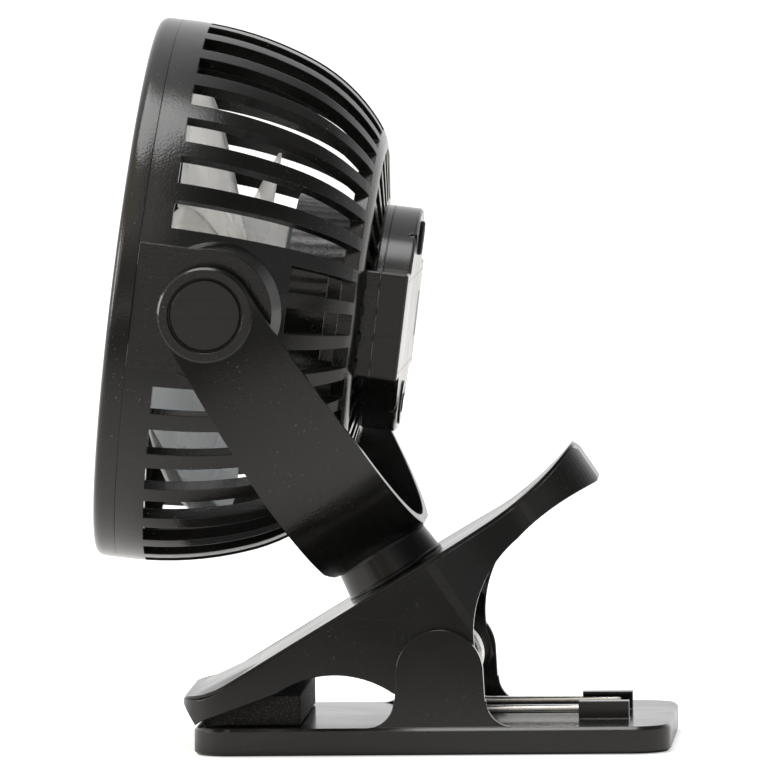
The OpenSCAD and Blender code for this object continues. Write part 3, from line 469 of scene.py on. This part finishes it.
def make_finishes():
    """Every material, by the name of its record slot or of a finish of its own."""
    c = colours()
    FINISHES.update(
        shell_plastic=moulded_abs("satin black ABS", c.shell),
        gloss_black=polished_abs("polished black ABS", c.shell),
        cover_black=moulded_abs("smooth black ABS", c.shell, edge_mm=0, base_rough=0.17,
                                grain_mm=1.5, depth_mm=0.001),
        grained_black=moulded_abs("spark-grained black ABS", c.shell, edge_mm=0.35,
                                  base_rough=0.15, grain_mm=0.65, depth_mm=0.035, dusty=0.8),
        soft_rubber=soft_rubber("black silicone rubber", linear("#1b1b1c")),
        foam_rubber=foam_rubber("black EVA foam", c.foam),
        pin_steel=metal("turned steel, zinc plated", linear("#b9bbbd"), 0.28, 0.5, (0.1, 1, 1)),
        spring_wire=metal("drawn spring wire, nickel plated", c.wire, 0.24, 0.6, (1, 0.1, 1), 0),
        contact_steel=metal("nickel plated sheet", linear("#c6c5bf"), 0.3, 0.6, (1, 1, 0.1)),
        bearing_brass=metal("sintered bronze", linear("#b58d4c"), 0.4, 0.4, (1, 1, 1)),
        blade_plastic=blade_plastic("translucent blade resin", c.blade),
        cell_sleeve=sleeve("blue shrink sleeve"),
        board=circuit_board("green circuit board"),
        white_plastic=white_moulding("white nylon", linear("#dcdad2")),
        lens=white_moulding("frosted light guide", linear("#e6efec"), 0.3),
    )


def finish(name):
    """A material by its name here; all are made at the first call."""
    if not FINISHES:
        make_finishes()
    return FINISHES[name]


# nodes that leave their slot's finish: the cage and the yoke come from a coarser mould than the
# clip, and the jaw's cover from a smoother one
NODE_FINISHES = {"rear_cage": "grained_black", "yoke": "grained_black",
                 "jaw_top_cover": "cover_black"}


class FAN_OT_finishes(bpy.types.Operator):
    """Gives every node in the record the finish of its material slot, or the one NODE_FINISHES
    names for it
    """
    bl_idname = "fan.finishes"
    bl_label = "Node finishes"

    def execute(self, context):
        make_finishes()
        for row in frame["record"]["subparts"]:
            node = frame["nodes"][row["node"]]
            node.data.materials.clear()
            name = NODE_FINISHES.get(row["node"], row["material_slot"])
            node.data.materials.append(finish(name))
        return {"FINISHED"}


# ------------------------------------------------------------------ springs

PIN_Y, PIN_Z = 2.4, 21.75           # the hinge pin, which lies along X
LEG_X, LEG_Z = 13.3, 9.9            # the lower leg, straight along the base
LEG_REAR, LEG_FRONT, UPPER_LEG = 48, 14, 34
COIL_PITCH = 2.5
COIL_START, COIL_END = 270, 145     # degrees about the pin: 0 is to the rear and 90 is up


def spring_path():
    """Middle line of a torsion spring: a straight leg, a cubic curve up to the coil, a helix
    about the hinge pin, and a straight leg that leaves the helix up under the jaw's top."""
    coil_r, turns = sizes().coil_r / MM, sizes().coil_turns
    leg = np.stack([np.full(30, LEG_X), np.linspace(LEG_REAR, LEG_FRONT, 30),
                    np.full(30, LEG_Z)], -1)
    p = np.array([[LEG_X, LEG_FRONT, LEG_Z], [LEG_X, 7.5, LEG_Z],
                  [LEG_X, 5.5, PIN_Z - coil_r], [LEG_X, PIN_Y, PIN_Z - coil_r]])
    t = np.linspace(0, 1, 40)[:, None]
    bend = ((1 - t) ** 3 * p[0] + 3 * t * (1 - t) ** 2 * p[1]
            + 3 * t ** 2 * (1 - t) * p[2] + t ** 3 * p[3])
    a = np.radians(np.linspace(COIL_START, COIL_END - 360 * turns, 64 * turns))
    coil = np.stack([LEG_X + COIL_PITCH * (math.radians(COIL_START) - a) / (2 * math.pi),
                     PIN_Y + coil_r * np.cos(a), PIN_Z + coil_r * np.sin(a)], -1)
    tip = math.radians(COIL_END)
    run = np.linspace(0, UPPER_LEG, 20)[1:, None]
    upper = coil[-1] + run * np.array([0, math.sin(tip), -math.cos(tip)])
    return np.concatenate([leg, bend[1:], coil[1:], upper]) * MM


class FAN_OT_springs(bpy.types.Operator):
    """Winds the two torsion springs about the hinge pin"""
    bl_idname = "fan.springs"
    bl_label = "Torsion springs"

    def execute(self, context):
        path = spring_path()
        for side, sign in (("left", 1), ("right", -1)):
            surface = swept_wire(path * np.array([sign, 1, 1]), sizes().wire_d / 2)
            spring = piece("wound_spring_" + side, surface, finish("spring_wire"), None)
            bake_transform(spring)
            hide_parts("torsion_spring_" + side)
        return {"FINISHED"}


# ------------------------------------------------------------------ grip pad

PAD = [(-60.8, 7.75, 0.5), (-60.1, 9.9, 0.2), (-59.4, 10.87, 0.2), (-51, 15.7, 0.3),
       (-34.6, 15.7, 0.5), (-34.6, 7.75, 0.45)]
PAD_END, PAD_DRAW = 0.6, 0.55       # over how much of its ends it draws in, and how far
NOSE_X, NOSE_Y, NOSE_R = 23, -54.2, 9.5


def pad_surface():
    """The pad's side outline carried across the jaw. Near both ends it draws in as a quarter
    ellipse does, and it is cut back there to the nose's plan, an arc on each side."""
    low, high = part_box("grip_pad")
    x0, x1 = low[0] / MM, high[0] / MM
    outline = rounded(PAD, 6)
    turn = np.linspace(0, math.pi / 2, 6)
    x = np.concatenate([x0 + PAD_END * (1 - np.cos(turn)), np.linspace(x0 + 0.9, x1 - 0.9, 60),
                        x1 - PAD_END * (1 - np.sin(turn))])
    edge = np.clip(np.minimum(x - x0, x1 - x) / PAD_END, 0, 1)
    draw = PAD_DRAW * (1 - np.sqrt(1 - (1 - edge) ** 2))
    away = outline - outline.mean(0)
    away = away / np.linalg.norm(away, axis=1)[:, None]
    yz = outline[None] - away[None] * draw[:, None, None]
    past = np.clip(np.abs(x) - NOSE_X, 0, NOSE_R)
    front = NOSE_Y - np.sqrt(NOSE_R ** 2 - past ** 2)
    yz[..., 0] = np.maximum(yz[..., 0], front[:, None])
    across = np.broadcast_to(x[:, None, None], yz.shape[:2] + (1,))
    return closed_tube(np.concatenate([across, yz], -1) * MM)


class FAN_OT_grip_pad(bpy.types.Operator):
    """Cuts the foam block in the jaw's nose"""
    bl_idname = "fan.grip_pad"
    bl_label = "Grip pad"

    def execute(self, context):
        pad = piece("foam_grip_pad", pad_surface(), finish("foam_rubber"), "jaw")
        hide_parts("grip_pad")
        return {"FINISHED"}


# ------------------------------------------------------------------ jaw cover

COVER_NOSE = np.array([(-65.9, 14.95), (-65.3, 15.12), (-63.4, 15.25), (-60.9, 15.82),
                       (-58.1, 16.7), (-55.6, 17.81)])
COVER_T, COVER_LOW = 0.75, -0.74    # its top over the jaw, and its underside under the top
BEND_R, BEND_START, BEND_DEGREES = 83.0, np.array([14.3, 59.094]), 26
HANDLE_TIP, HANDLE_TURN = np.array([43.3, 69.6]), math.radians(34)
PATH_STEP, SMOOTHED = 0.3, 13       # length of a step, and the points in each mean
HOLE_R, EDGE_POINTS = 8.06, 220
LIP_FOOT, LIP_RISE, LIP_H, LIP_CORNER = 2.0, 1.5, 0.12, 0.2


def cover_path():
    """The cover's top in Y and Z from nose to handle, and its unit normals. The nose's points
    lead into an arc that starts at the jaw's slope; the line is then cut into even steps, and
    each point is the mean of those about it."""
    middle = BEND_START - BEND_R * np.array([math.sin(SLOPE), -math.cos(SLOPE)])
    a = SLOPE + np.radians(np.linspace(0, BEND_DEGREES, 60))
    bend = middle + (BEND_R - COVER_T) * np.stack([np.sin(a), -np.cos(a)], -1)
    line = np.concatenate([COVER_NOSE, bend])
    along = lengths(line)
    line = between(np.arange(0, along[-1], PATH_STEP), along, line)
    past = SMOOTHED // 2
    longer = np.pad(line, ((past, past), (0, 0)), mode="reflect", reflect_type="odd")
    share = np.full(SMOOTHED, 1 / SMOOTHED)
    line = np.stack([np.convolve(column, share, "valid") for column in longer.T], -1)
    run = np.gradient(line, axis=0)
    run /= np.linalg.norm(run, axis=1)[:, None]
    return line, np.stack([-run[:, 1], run[:, 0]], -1)


def cover_outline(line, place):
    """Half of the cover's edge as X and distance along the path: the nose's corner in plan,
    then the handle's plan, three arcs measured back from the handle's tip along its slope."""
    nose = np.concatenate([[[0, -65.8]], arc((23, -54.7), 11.1, -90, 0)])
    plan = np.concatenate([arc((4.1, -49.08), 30, 0, 33.69), arc((28.7, -20), 6.6, 213.69, 180),
                           arc((3, -19.1), 19.1, 0, 90, 24), [[0, 0]]])
    from_tip = (line - HANDLE_TIP) @ [math.cos(HANDLE_TURN), math.sin(HANDLE_TURN)] - 0.1
    edge = np.concatenate([
        np.stack([nose[:, 0], np.interp(nose[:, 1], line[:, 0], place)], -1),
        np.stack([plan[:, 0], np.interp(plan[:, 1], from_tip, place)], -1)])
    along = lengths(edge)
    return between(np.linspace(0, along[-1], EDGE_POINTS), along, edge)


def cover_surface():
    """A sheet round the swivel's hole: rings run from the hole out to the edge, up a lip that
    rises as half a cosine wave, over its rounded corner, and back below."""
    line, normals = cover_path()
    place = np.arange(len(line)) * PATH_STEP
    half = cover_outline(line, place)
    edge = np.concatenate([half, half[-2:0:-1] * [-1, 1]])
    hole = np.array([0, np.interp(SWIVEL_Y, line[:, 0], place)])
    away = edge - hole
    reach = np.linalg.norm(away, axis=1)[:, None]
    away = away / reach
    flat = reach - LIP_FOOT - HOLE_R
    steps = [(HOLE_R + share * flat, 0) for share in np.linspace(0, 1, 42)]
    steps += [(reach - inside, LIP_H / 2 * (1 - math.cos(math.pi * (LIP_FOOT - inside) / LIP_RISE)))
              for inside in np.linspace(LIP_FOOT - 0.2, LIP_FOOT - LIP_RISE, 9)]
    steps += [(reach - LIP_CORNER * (1 - math.sin(t)), LIP_H - LIP_CORNER * (1 - math.cos(t)))
              for t in np.linspace(0, math.pi / 2, 7)]
    steps += [(reach, COVER_LOW), (reach * 0.5 + 4, COVER_LOW), (HOLE_R, COVER_LOW)]
    rings = []
    for distance, height in steps:
        sheet = hole + away * distance
        yz = between(sheet[:, 1], place, line) + between(sheet[:, 1], place, normals) * height
        rings.append(np.concatenate([sheet[:, :1], yz], 1))
    return endless_tube(np.array(rings) * MM)


class FAN_OT_jaw_cover(bpy.types.Operator):
    """Moulds the smooth cover on the jaw's top"""
    bl_idname = "fan.jaw_cover"
    bl_label = "Jaw cover"

    def execute(self, context):
        cover = piece("moulded_jaw_cover", cover_surface(), finish("cover_black"), "jaw")
        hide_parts("jaw_top_cover")
        return {"FINISHED"}


# ------------------------------------------------------------------ rotor

HUB_R, HUB_FRONT, HUB_REAR = 23.5, 3.4, 35.0
BOSS_R, BOSS_REAR, BORE_R, BORE_END = 4, 33.0, 1.05, 22     # the boss that holds the shaft
FIRST_BLADE, HALF_CHORD = 125.6, 37.7       # degrees about the axis
BLADE_MID, BLADE_RISE = 16.0, 11.7          # a blade's middle depth, and half its depth


def chord_left(t):
    """Share of the chord left at span t: all of it, then a quarter ellipse at the tip."""
    past = np.clip((t - 0.84) / 0.16, 0, 1)
    return 1 - 0.13 * (1 - np.sqrt(1 - past ** 2))


def blade_skin(side, rows=44, cols=48):
    """One skin of a blade in the head frame, a helical sheet. Chord s runs from -1 in front
    to 1 behind and span t from 0 to 1: angle and depth both grow evenly with s. The sheet
    bellies forwards and is thickest at mid-chord, and thins towards the tip."""
    t, s = np.meshgrid(np.sin(np.linspace(0, math.pi / 2, rows)),
                       -np.cos(np.linspace(0, math.pi, cols)), indexing="ij")
    root = HUB_R - 1.2
    r = root + (sizes().blade_r / MM - root) * t
    a = np.radians(FIRST_BLADE + s * HALF_CHORD * chord_left(t))
    belly = 1 - s * s
    skin = sizes().blade_t / MM * (0.3 + 0.7 * belly) * (1 - 0.35 * t) / 2
    u = BLADE_MID + s * BLADE_RISE * chord_left(t) - 0.8 * belly + side * skin
    return np.stack([r * np.cos(a), r * np.sin(a), u], -1)


class FAN_OT_rotor(bpy.types.Operator):
    """Forms the hub and the helical blades"""
    bl_idname = "fan.rotor"
    bl_label = "Fan rotor"

    def execute(self, context):
        # a blade's sections are rings from hub to tip, out on one skin and back on the other
        blade = np.concatenate([blade_skin(-1), blade_skin(1)[:, ::-1]], 1)
        hub = rounded([(0.01, HUB_FRONT, 0), (HUB_R - 2.6, HUB_FRONT, 1.4),
                       (HUB_R, HUB_FRONT + 2.6, 2.4), (HUB_R, HUB_REAR, 0.4),
                       (HUB_R - 1.6, HUB_REAR, 0.4), (HUB_R - 1.6, HUB_FRONT + 3, 1.2),
                       (BOSS_R, HUB_FRONT + 3, 0.8), (BOSS_R, BOSS_REAR, 0.5),
                       (BORE_R, BOSS_REAR, 0.2), (BORE_R, BORE_END, 0), (0.01, BORE_END, 0)])
        parts = spaced(blade, sizes().blade_n) + [closed_tube(turned(hub, 120))]
        rotor = piece("moulded_rotor", joined(parts), finish("blade_plastic"), "rotor",
                      sharp=0.9)
        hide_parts("fan_blades")
        return {"FINISHED"}


# ------------------------------------------------------------------ front grille

FACE, RIM_R, BEZEL_R = -6.1, 66.0, 72.0
SKIRT_OUT, SKIRT_IN, SKIRT_REAR = BEZEL_R - 2.6, BEZEL_R - 4.6, 2.9     # it enters the cage
OVAL_U, OVAL_DEEP = FACE + 1.6, 1.2         # ribs and rings: their middle, and half their depth
RING_RADII, RING_HALF_W, RIB_HALF_W = (33.5, 50.0), 0.8, 0.75
RIB_BEND, RIB_START, RIB_END = 46.0, 17.6, 67.0     # its arc's radius, and the radii it spans
SEAT_IN, SEAT_OUT, SEAT_REAR, CAP_R = 14.95, 18.2, FACE + 2.6, 14.85


def grille_rings():
    """Sections turned about the head's axis: the bezel and its skirt, two oval rings, the seat
    about the cap, and the wall behind the cap."""
    bezel = rounded([(RIM_R, FACE, 0.5), (BEZEL_R, FACE, 2.8), (BEZEL_R, 0, 0.15),
                     (SKIRT_OUT, 0, 0.15), (SKIRT_OUT, SKIRT_REAR, 0.2),
                     (SKIRT_IN, SKIRT_REAR, 0.2), (SKIRT_IN, -2, 0.4),
                     (RIM_R, FACE + 2.3, 0.4)], 8)
    parts = [endless_tube(turned(bezel, 240))]
    a = np.linspace(0, 2 * math.pi, 14, endpoint=False)
    for r in RING_RADII:
        oval = np.stack([r + RING_HALF_W * np.cos(a), OVAL_U + OVAL_DEEP * np.sin(a)], -1)
        parts.append(endless_tube(turned(oval, 160)))
    seat = rounded([(SEAT_IN, FACE, 0.3), (SEAT_OUT, FACE, 0.8), (SEAT_OUT, SEAT_REAR, 0.4),
                    (SEAT_IN, SEAT_REAR, 0.3)])
    wall = rounded([(0.01, FACE + 1.45, 0), (15.4, FACE + 1.45, 0.05), (15.4, FACE + 2.7, 0.3),
                    (0.01, FACE + 2.7, 0)], 3)
    return parts + [endless_tube(turned(seat, 120)), closed_tube(turned(wall, 96))]


def rib_rings():
    """One rib: an arc about a point as far out as its own radius, so it leaves the middle
    square to a spoke and meets the rim on a slant. Its section is an oval, a little square."""
    swing = np.linspace(2 * math.asin(RIB_START / (2 * RIB_BEND)),
                        2 * math.asin(RIB_END / (2 * RIB_BEND)), 34)[:, None]
    a = np.linspace(0, 2 * math.pi, 12, endpoint=False)
    radius = RIB_BEND + RIB_HALF_W * np.sign(np.cos(a)) * np.abs(np.cos(a)) ** 0.7
    x, y = RIB_BEND - radius * np.cos(swing), radius * np.sin(swing)
    return np.stack([x, y, np.broadcast_to(OVAL_U + OVAL_DEEP * np.sin(a), x.shape)], -1)


class FAN_OT_front_grille(bpy.types.Operator):
    """Moulds the front bezel, its curved ribs, two rings and the plain cap"""
    bl_idname = "fan.front_grille"
    bl_label = "Front grille"

    def execute(self, context):
        parts = grille_rings() + spaced(rib_rings(), sizes().ribs)
        grille = piece("moulded_front_grille", joined(parts), finish("grained_black"), "head",
                       sharp=0.9)
        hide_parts("front_grille")
        dome = rounded([(0.01, FACE - 0.35, 0), (8, FACE - 0.3, 4), (14.4, FACE - 0.1, 0.6),
                        (CAP_R, FACE + 0.35, 0.2), (CAP_R, FACE + 1.4, 0.1),
                        (0.01, FACE + 1.4, 0)])
        cap = piece("turned_grille_cap", closed_tube(turned(dome, 120)),
                    finish("gloss_black"), "head")
        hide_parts("grille_cap")
        return {"FINISHED"}


# ------------------------------------------------------------------ cover screws

SCREW_X, SCREW_Y, COVER_FACE = 17, 21.5, 69.15
SCREW_R, SCREW_TOP, SCREW_LOW = 2.2, COVER_FACE - 0.5, COVER_FACE - 1.9     # its pan head
DOME_H, EDGE_DROP = 0.35, 0.55              # from its top down to the dome's foot, and its edge
CROSS_R, CROSS_HALF_W, CROSS_DEPTH = 1.35, 0.34, 0.75
SHANK = [(1.2, SCREW_LOW), (1.2, 62.6), (0.7, 61.9)]


def screw_rings(steps=72):
    """A screw's rings from the head's middle outwards and down. The head's height over its
    plan is a low dome, less a cross of two bars that shelve up towards their ends."""
    radius = np.concatenate([np.linspace(0.04, 1.5, 22), np.linspace(1.6, SCREW_R - 0.25, 6),
                             [SCREW_R - 0.1, SCREW_R - 0.02, SCREW_R, SCREW_R]])
    angle = np.linspace(0, 2 * math.pi, steps, endpoint=False)
    r, a = np.meshgrid(radius, angle, indexing="ij")
    x, y = r * np.cos(a), r * np.sin(a)
    beside = np.minimum(np.abs(x), np.abs(y))
    cut = np.clip((CROSS_HALF_W - beside) / 0.12, 0, 1) * np.clip((CROSS_R - r) / 0.25, 0, 1)
    z = (SCREW_TOP - DOME_H * (r / SCREW_R) ** 2
         - CROSS_DEPTH * cut * (1 - 0.35 * r / CROSS_R))
    z[-2] = SCREW_TOP - EDGE_DROP
    z[-1] = SCREW_LOW
    shank = [np.stack([r * np.cos(angle), r * np.sin(angle), np.full(steps, u)], -1)
             for r, u in SHANK]
    return np.concatenate([np.stack([x, y, z], -1), np.array(shank)])


class FAN_OT_cover_screws(bpy.types.Operator):
    """Turns the pan heads of the cover screws, each with a cross recess"""
    bl_idname = "fan.cover_screws"
    bl_label = "Cover screws"

    def execute(self, context):
        rings = screw_rings()
        parts = [closed_tube(from_head(rings + np.array([sx * SCREW_X, sy * SCREW_Y, 0])))
                 for sx in (-1, 1) for sy in (-1, 1)]
        screws = piece("cross_head_cover_screws", joined(parts), finish("pin_steel"), "head",
                       sharp=0.6)
        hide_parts("cover_screws")
        return {"FINISHED"}


# ------------------------------------------------------------------ stage

FLOOR_HALF = 9.0
# each lamp's name, place, aim, size and watts
LAMPS = (("lamp_top", (0.3, -0.2, 1.5), (0, 0, 0.1), 0.8, 10),
         ("lamp_front_left", (1.3, -1.5, 0.7), (0, 0, 0.1), 0.7, 3),
         ("lamp_blown_side", (0.3, -1.3, 0.35), (0, -0.05, 0.13), 0.5, 5.5))


def glowing(name, colour, whiteness):
    """Matt surface that looks white to the camera, and keeps its shadow. Its reflections are
    painted: painted white on the -X side, and a painted grey shade in a band on the +X side."""
    material, tree, place = fresh(name, Roughness=0.9, Specular_IOR_Level=0.0)
    rays = add(tree, "LightPath").outputs
    along = add(tree, "SeparateXYZ", (place,)).outputs["X"]
    # painted shade: only in reflections, the floor turns grey from X 0.08 to 1.05 m
    near = add(tree, "MapRange", (along, 0.08, 0.35, 0, 1))
    far = add(tree, "MapRange", (along, 0.82, 1.05, 1, 0))
    painted_shade_band = add(tree, "Math", (near, far), operation="MULTIPLY")
    painted_shade_band = add(tree, "Math", (rays["Is Glossy Ray"], painted_shade_band), operation="MULTIPLY")
    tone = add(tree, "Mix", {0: painted_shade_band, 6: rgba(colour), 7: rgba(linear("#757575"))},
               data_type="RGBA")
    # painted reflection: only on the -X side do reflections see the floor glow white
    painted_white_side = add(tree, "MapRange", (along, -0.4, 0, 1, 0))
    painted_white_reflection = add(tree, "Math", (rays["Is Glossy Ray"], painted_white_side), operation="MULTIPLY")
    seen = add(tree, "Math", (rays["Is Camera Ray"], painted_white_reflection), operation="MAXIMUM")
    seen = add(tree, "Math", (seen, rays["Is Transmission Ray"]), operation="MAXIMUM")
    glow = add(tree, "Math", (seen, whiteness), operation="MULTIPLY")
    values = {"Base Color": tone, "Emission Strength": glow, "Emission Color": rgba((1, 1, 1))}
    for key, value in values.items():
        feed(tree, tree.nodes["Principled BSDF"].inputs[key], value)
    return material


def light_room(scene):
    """White card on the -X side, and above on the blowing side. The room is darker towards +X
    and above the fan's back, and a little warm towards +X on the blowing side. The camera, and
    what lets light through, see plain white."""
    world = scene.world or bpy.data.worlds.new("Studio")
    scene.world = world
    world.use_nodes = True
    tree = world.node_tree
    tree.nodes.clear()
    rays = add(tree, "LightPath").outputs
    seen = add(tree, "Math", (rays["Is Camera Ray"], rays["Is Transmission Ray"]),
               operation="MAXIMUM")
    x, y, z = add(tree, "SeparateXYZ", (add(tree, "TexCoord").outputs["Generated"],)).outputs
    rear = add(tree, "MapRange", (y, 0.2, 0.55, 0, 0.65))
    towards = add(tree, "Math", (x, rear), operation="ADD")
    level = add(tree, "MapRange", (towards, -0.1, 0.8, 1.0, 0.36))
    high = add(tree, "MapRange", (z, 0.05, 0.5, 0, 1))
    front = add(tree, "MapRange", (y, 0.2, 0.02, 0, 1))
    above = add(tree, "Math", (high, front), operation="MULTIPLY")
    back = add(tree, "MapRange", (y, 0.05, 0.35, 0, 0.75))
    higher = add(tree, "MapRange", (z, 0.3, 0.6, 0, 1))
    dull = add(tree, "Math", (back, higher), operation="MULTIPLY")
    kept = add(tree, "Math", (1.0, dull), operation="SUBTRACT")
    level = add(tree, "Math", (level, kept), operation="MULTIPLY")
    level = add(tree, "Math", (level, above), operation="MAXIMUM")
    level = add(tree, "Math", (level, seen), operation="MAXIMUM")
    blown = add(tree, "MapRange", (y, 0.15, -0.3, 0, 1))
    near = add(tree, "MapRange", (x, -0.3, 0.4, 0, 1))
    warm = add(tree, "Math", (blown, near), operation="MULTIPLY")
    warm = add(tree, "Math", (warm, seen), operation="SUBTRACT", use_clamp=True)
    tint = add(tree, "Mix", {0: warm, 6: rgba((1, 1, 1)), 7: rgba(linear("#ffeed6"))},
               data_type="RGBA")
    add(tree, "OutputWorld", (add(tree, "Background", (tint, level)),))


def soft_lamp(name, place, aim, size, watts):
    """A square soft lamp that faces its aim."""
    data = bpy.data.lights.new(name, "AREA")
    data.shape, data.size, data.energy = "SQUARE", size, watts
    lamp = bpy.data.objects.new(name, data)
    lamp.location = place
    lamp.rotation_euler = (Vector(aim) - Vector(place)).to_track_quat("-Z", "Y").to_euler()
    bpy.context.scene.collection.objects.link(lamp)


def set_camera(scene):
    """A long lens on the fan's +X side, a little to the rear and above. Its focal length gives
    the pixels per millimetre at the target, and its shift places the target in the frame."""
    azimuth, elevation, roll = math.radians(93.15), math.radians(3.65), math.radians(-0.68)
    distance, sensor, pixels, pixels_per_mm = 3.5, 36.0, 780, 3.7641
    target, target_x, target_y = Vector((0, -0.010, 0.100)), 396.5, 367.6
    back = Vector((math.sin(azimuth) * math.cos(elevation),
                   -math.cos(azimuth) * math.cos(elevation), math.sin(elevation)))
    data = bpy.data.cameras.new("Camera")
    data.sensor_width = sensor
    data.lens = pixels_per_mm * distance / MM / pixels * sensor
    data.shift_x = -(target_x - pixels / 2) / pixels
    data.shift_y = (target_y - pixels / 2) / pixels
    data.clip_start, data.clip_end = 0.05, 60
    camera = bpy.data.objects.new("Camera", data)
    turn = back.to_track_quat("Z", "Y").to_matrix() @ Matrix.Rotation(roll, 3, "Z")
    camera.matrix_world = Matrix.Translation(target + back * distance) @ turn.to_4x4()
    scene.collection.objects.link(camera)
    scene.camera = camera


class FAN_OT_stage(bpy.types.Operator):
    """Lays the pale floor, lights the room and places the soft lamps and the camera"""
    bl_idname = "fan.stage"
    bl_label = "Stage, lamps and camera"

    def execute(self, context):
        scene = context.scene
        white = glowing("matt white card", colours().floor, 0.55)
        corners = FLOOR_HALF * np.array([[-1, -1, 0], [1, -1, 0], [1, 1, 0], [-1, 1, 0]])
        floor = piece("floor", (corners, np.array([[0, 1, 2, 3]]), NO_TRIS), white, None)
        light_room(scene)
        for lamp in LAMPS:
            soft_lamp(*lamp)
        scene.view_settings.view_transform = "Standard"
        set_camera(scene)
        return {"FINISHED"}


# ------------------------------------------------------------------ panel and registration

STEPS = (FAN_OT_stage, FAN_OT_finishes, FAN_OT_springs, FAN_OT_grip_pad, FAN_OT_jaw_cover,
         FAN_OT_rotor, FAN_OT_front_grille, FAN_OT_cover_screws)


class FAN_PT_steps(bpy.types.Panel):
    """Lists the steps and the values that they use"""
    bl_idname = "FAN_PT_steps"
    bl_label = "Camping fan"
    bl_space_type = "VIEW_3D"
    bl_region_type = "UI"
    bl_category = "Fan"

    def draw(self, context):
        for step in STEPS:
            self.layout.operator(step.bl_idname)
        for group in (context.scene.fan_sizes, context.scene.fan_colours):
            for name in group.__annotations__:
                self.layout.prop(group, name)


CLASSES = (FanSizes, FanColours) + STEPS + (FAN_PT_steps,)


def register():
    for cls in CLASSES:
        bpy.utils.register_class(cls)
    bpy.types.Scene.fan_sizes = PointerProperty(type=FanSizes)
    bpy.types.Scene.fan_colours = PointerProperty(type=FanColours)


def unregister():
    del bpy.types.Scene.fan_colours
    del bpy.types.Scene.fan_sizes
    for cls in reversed(CLASSES):
        bpy.utils.unregister_class(cls)


def main():
    register()
    for step in STEPS:
        group, name = step.bl_idname.split(".")
        getattr(getattr(bpy.ops, group), name)()


if __name__ == "__main__":
    main()
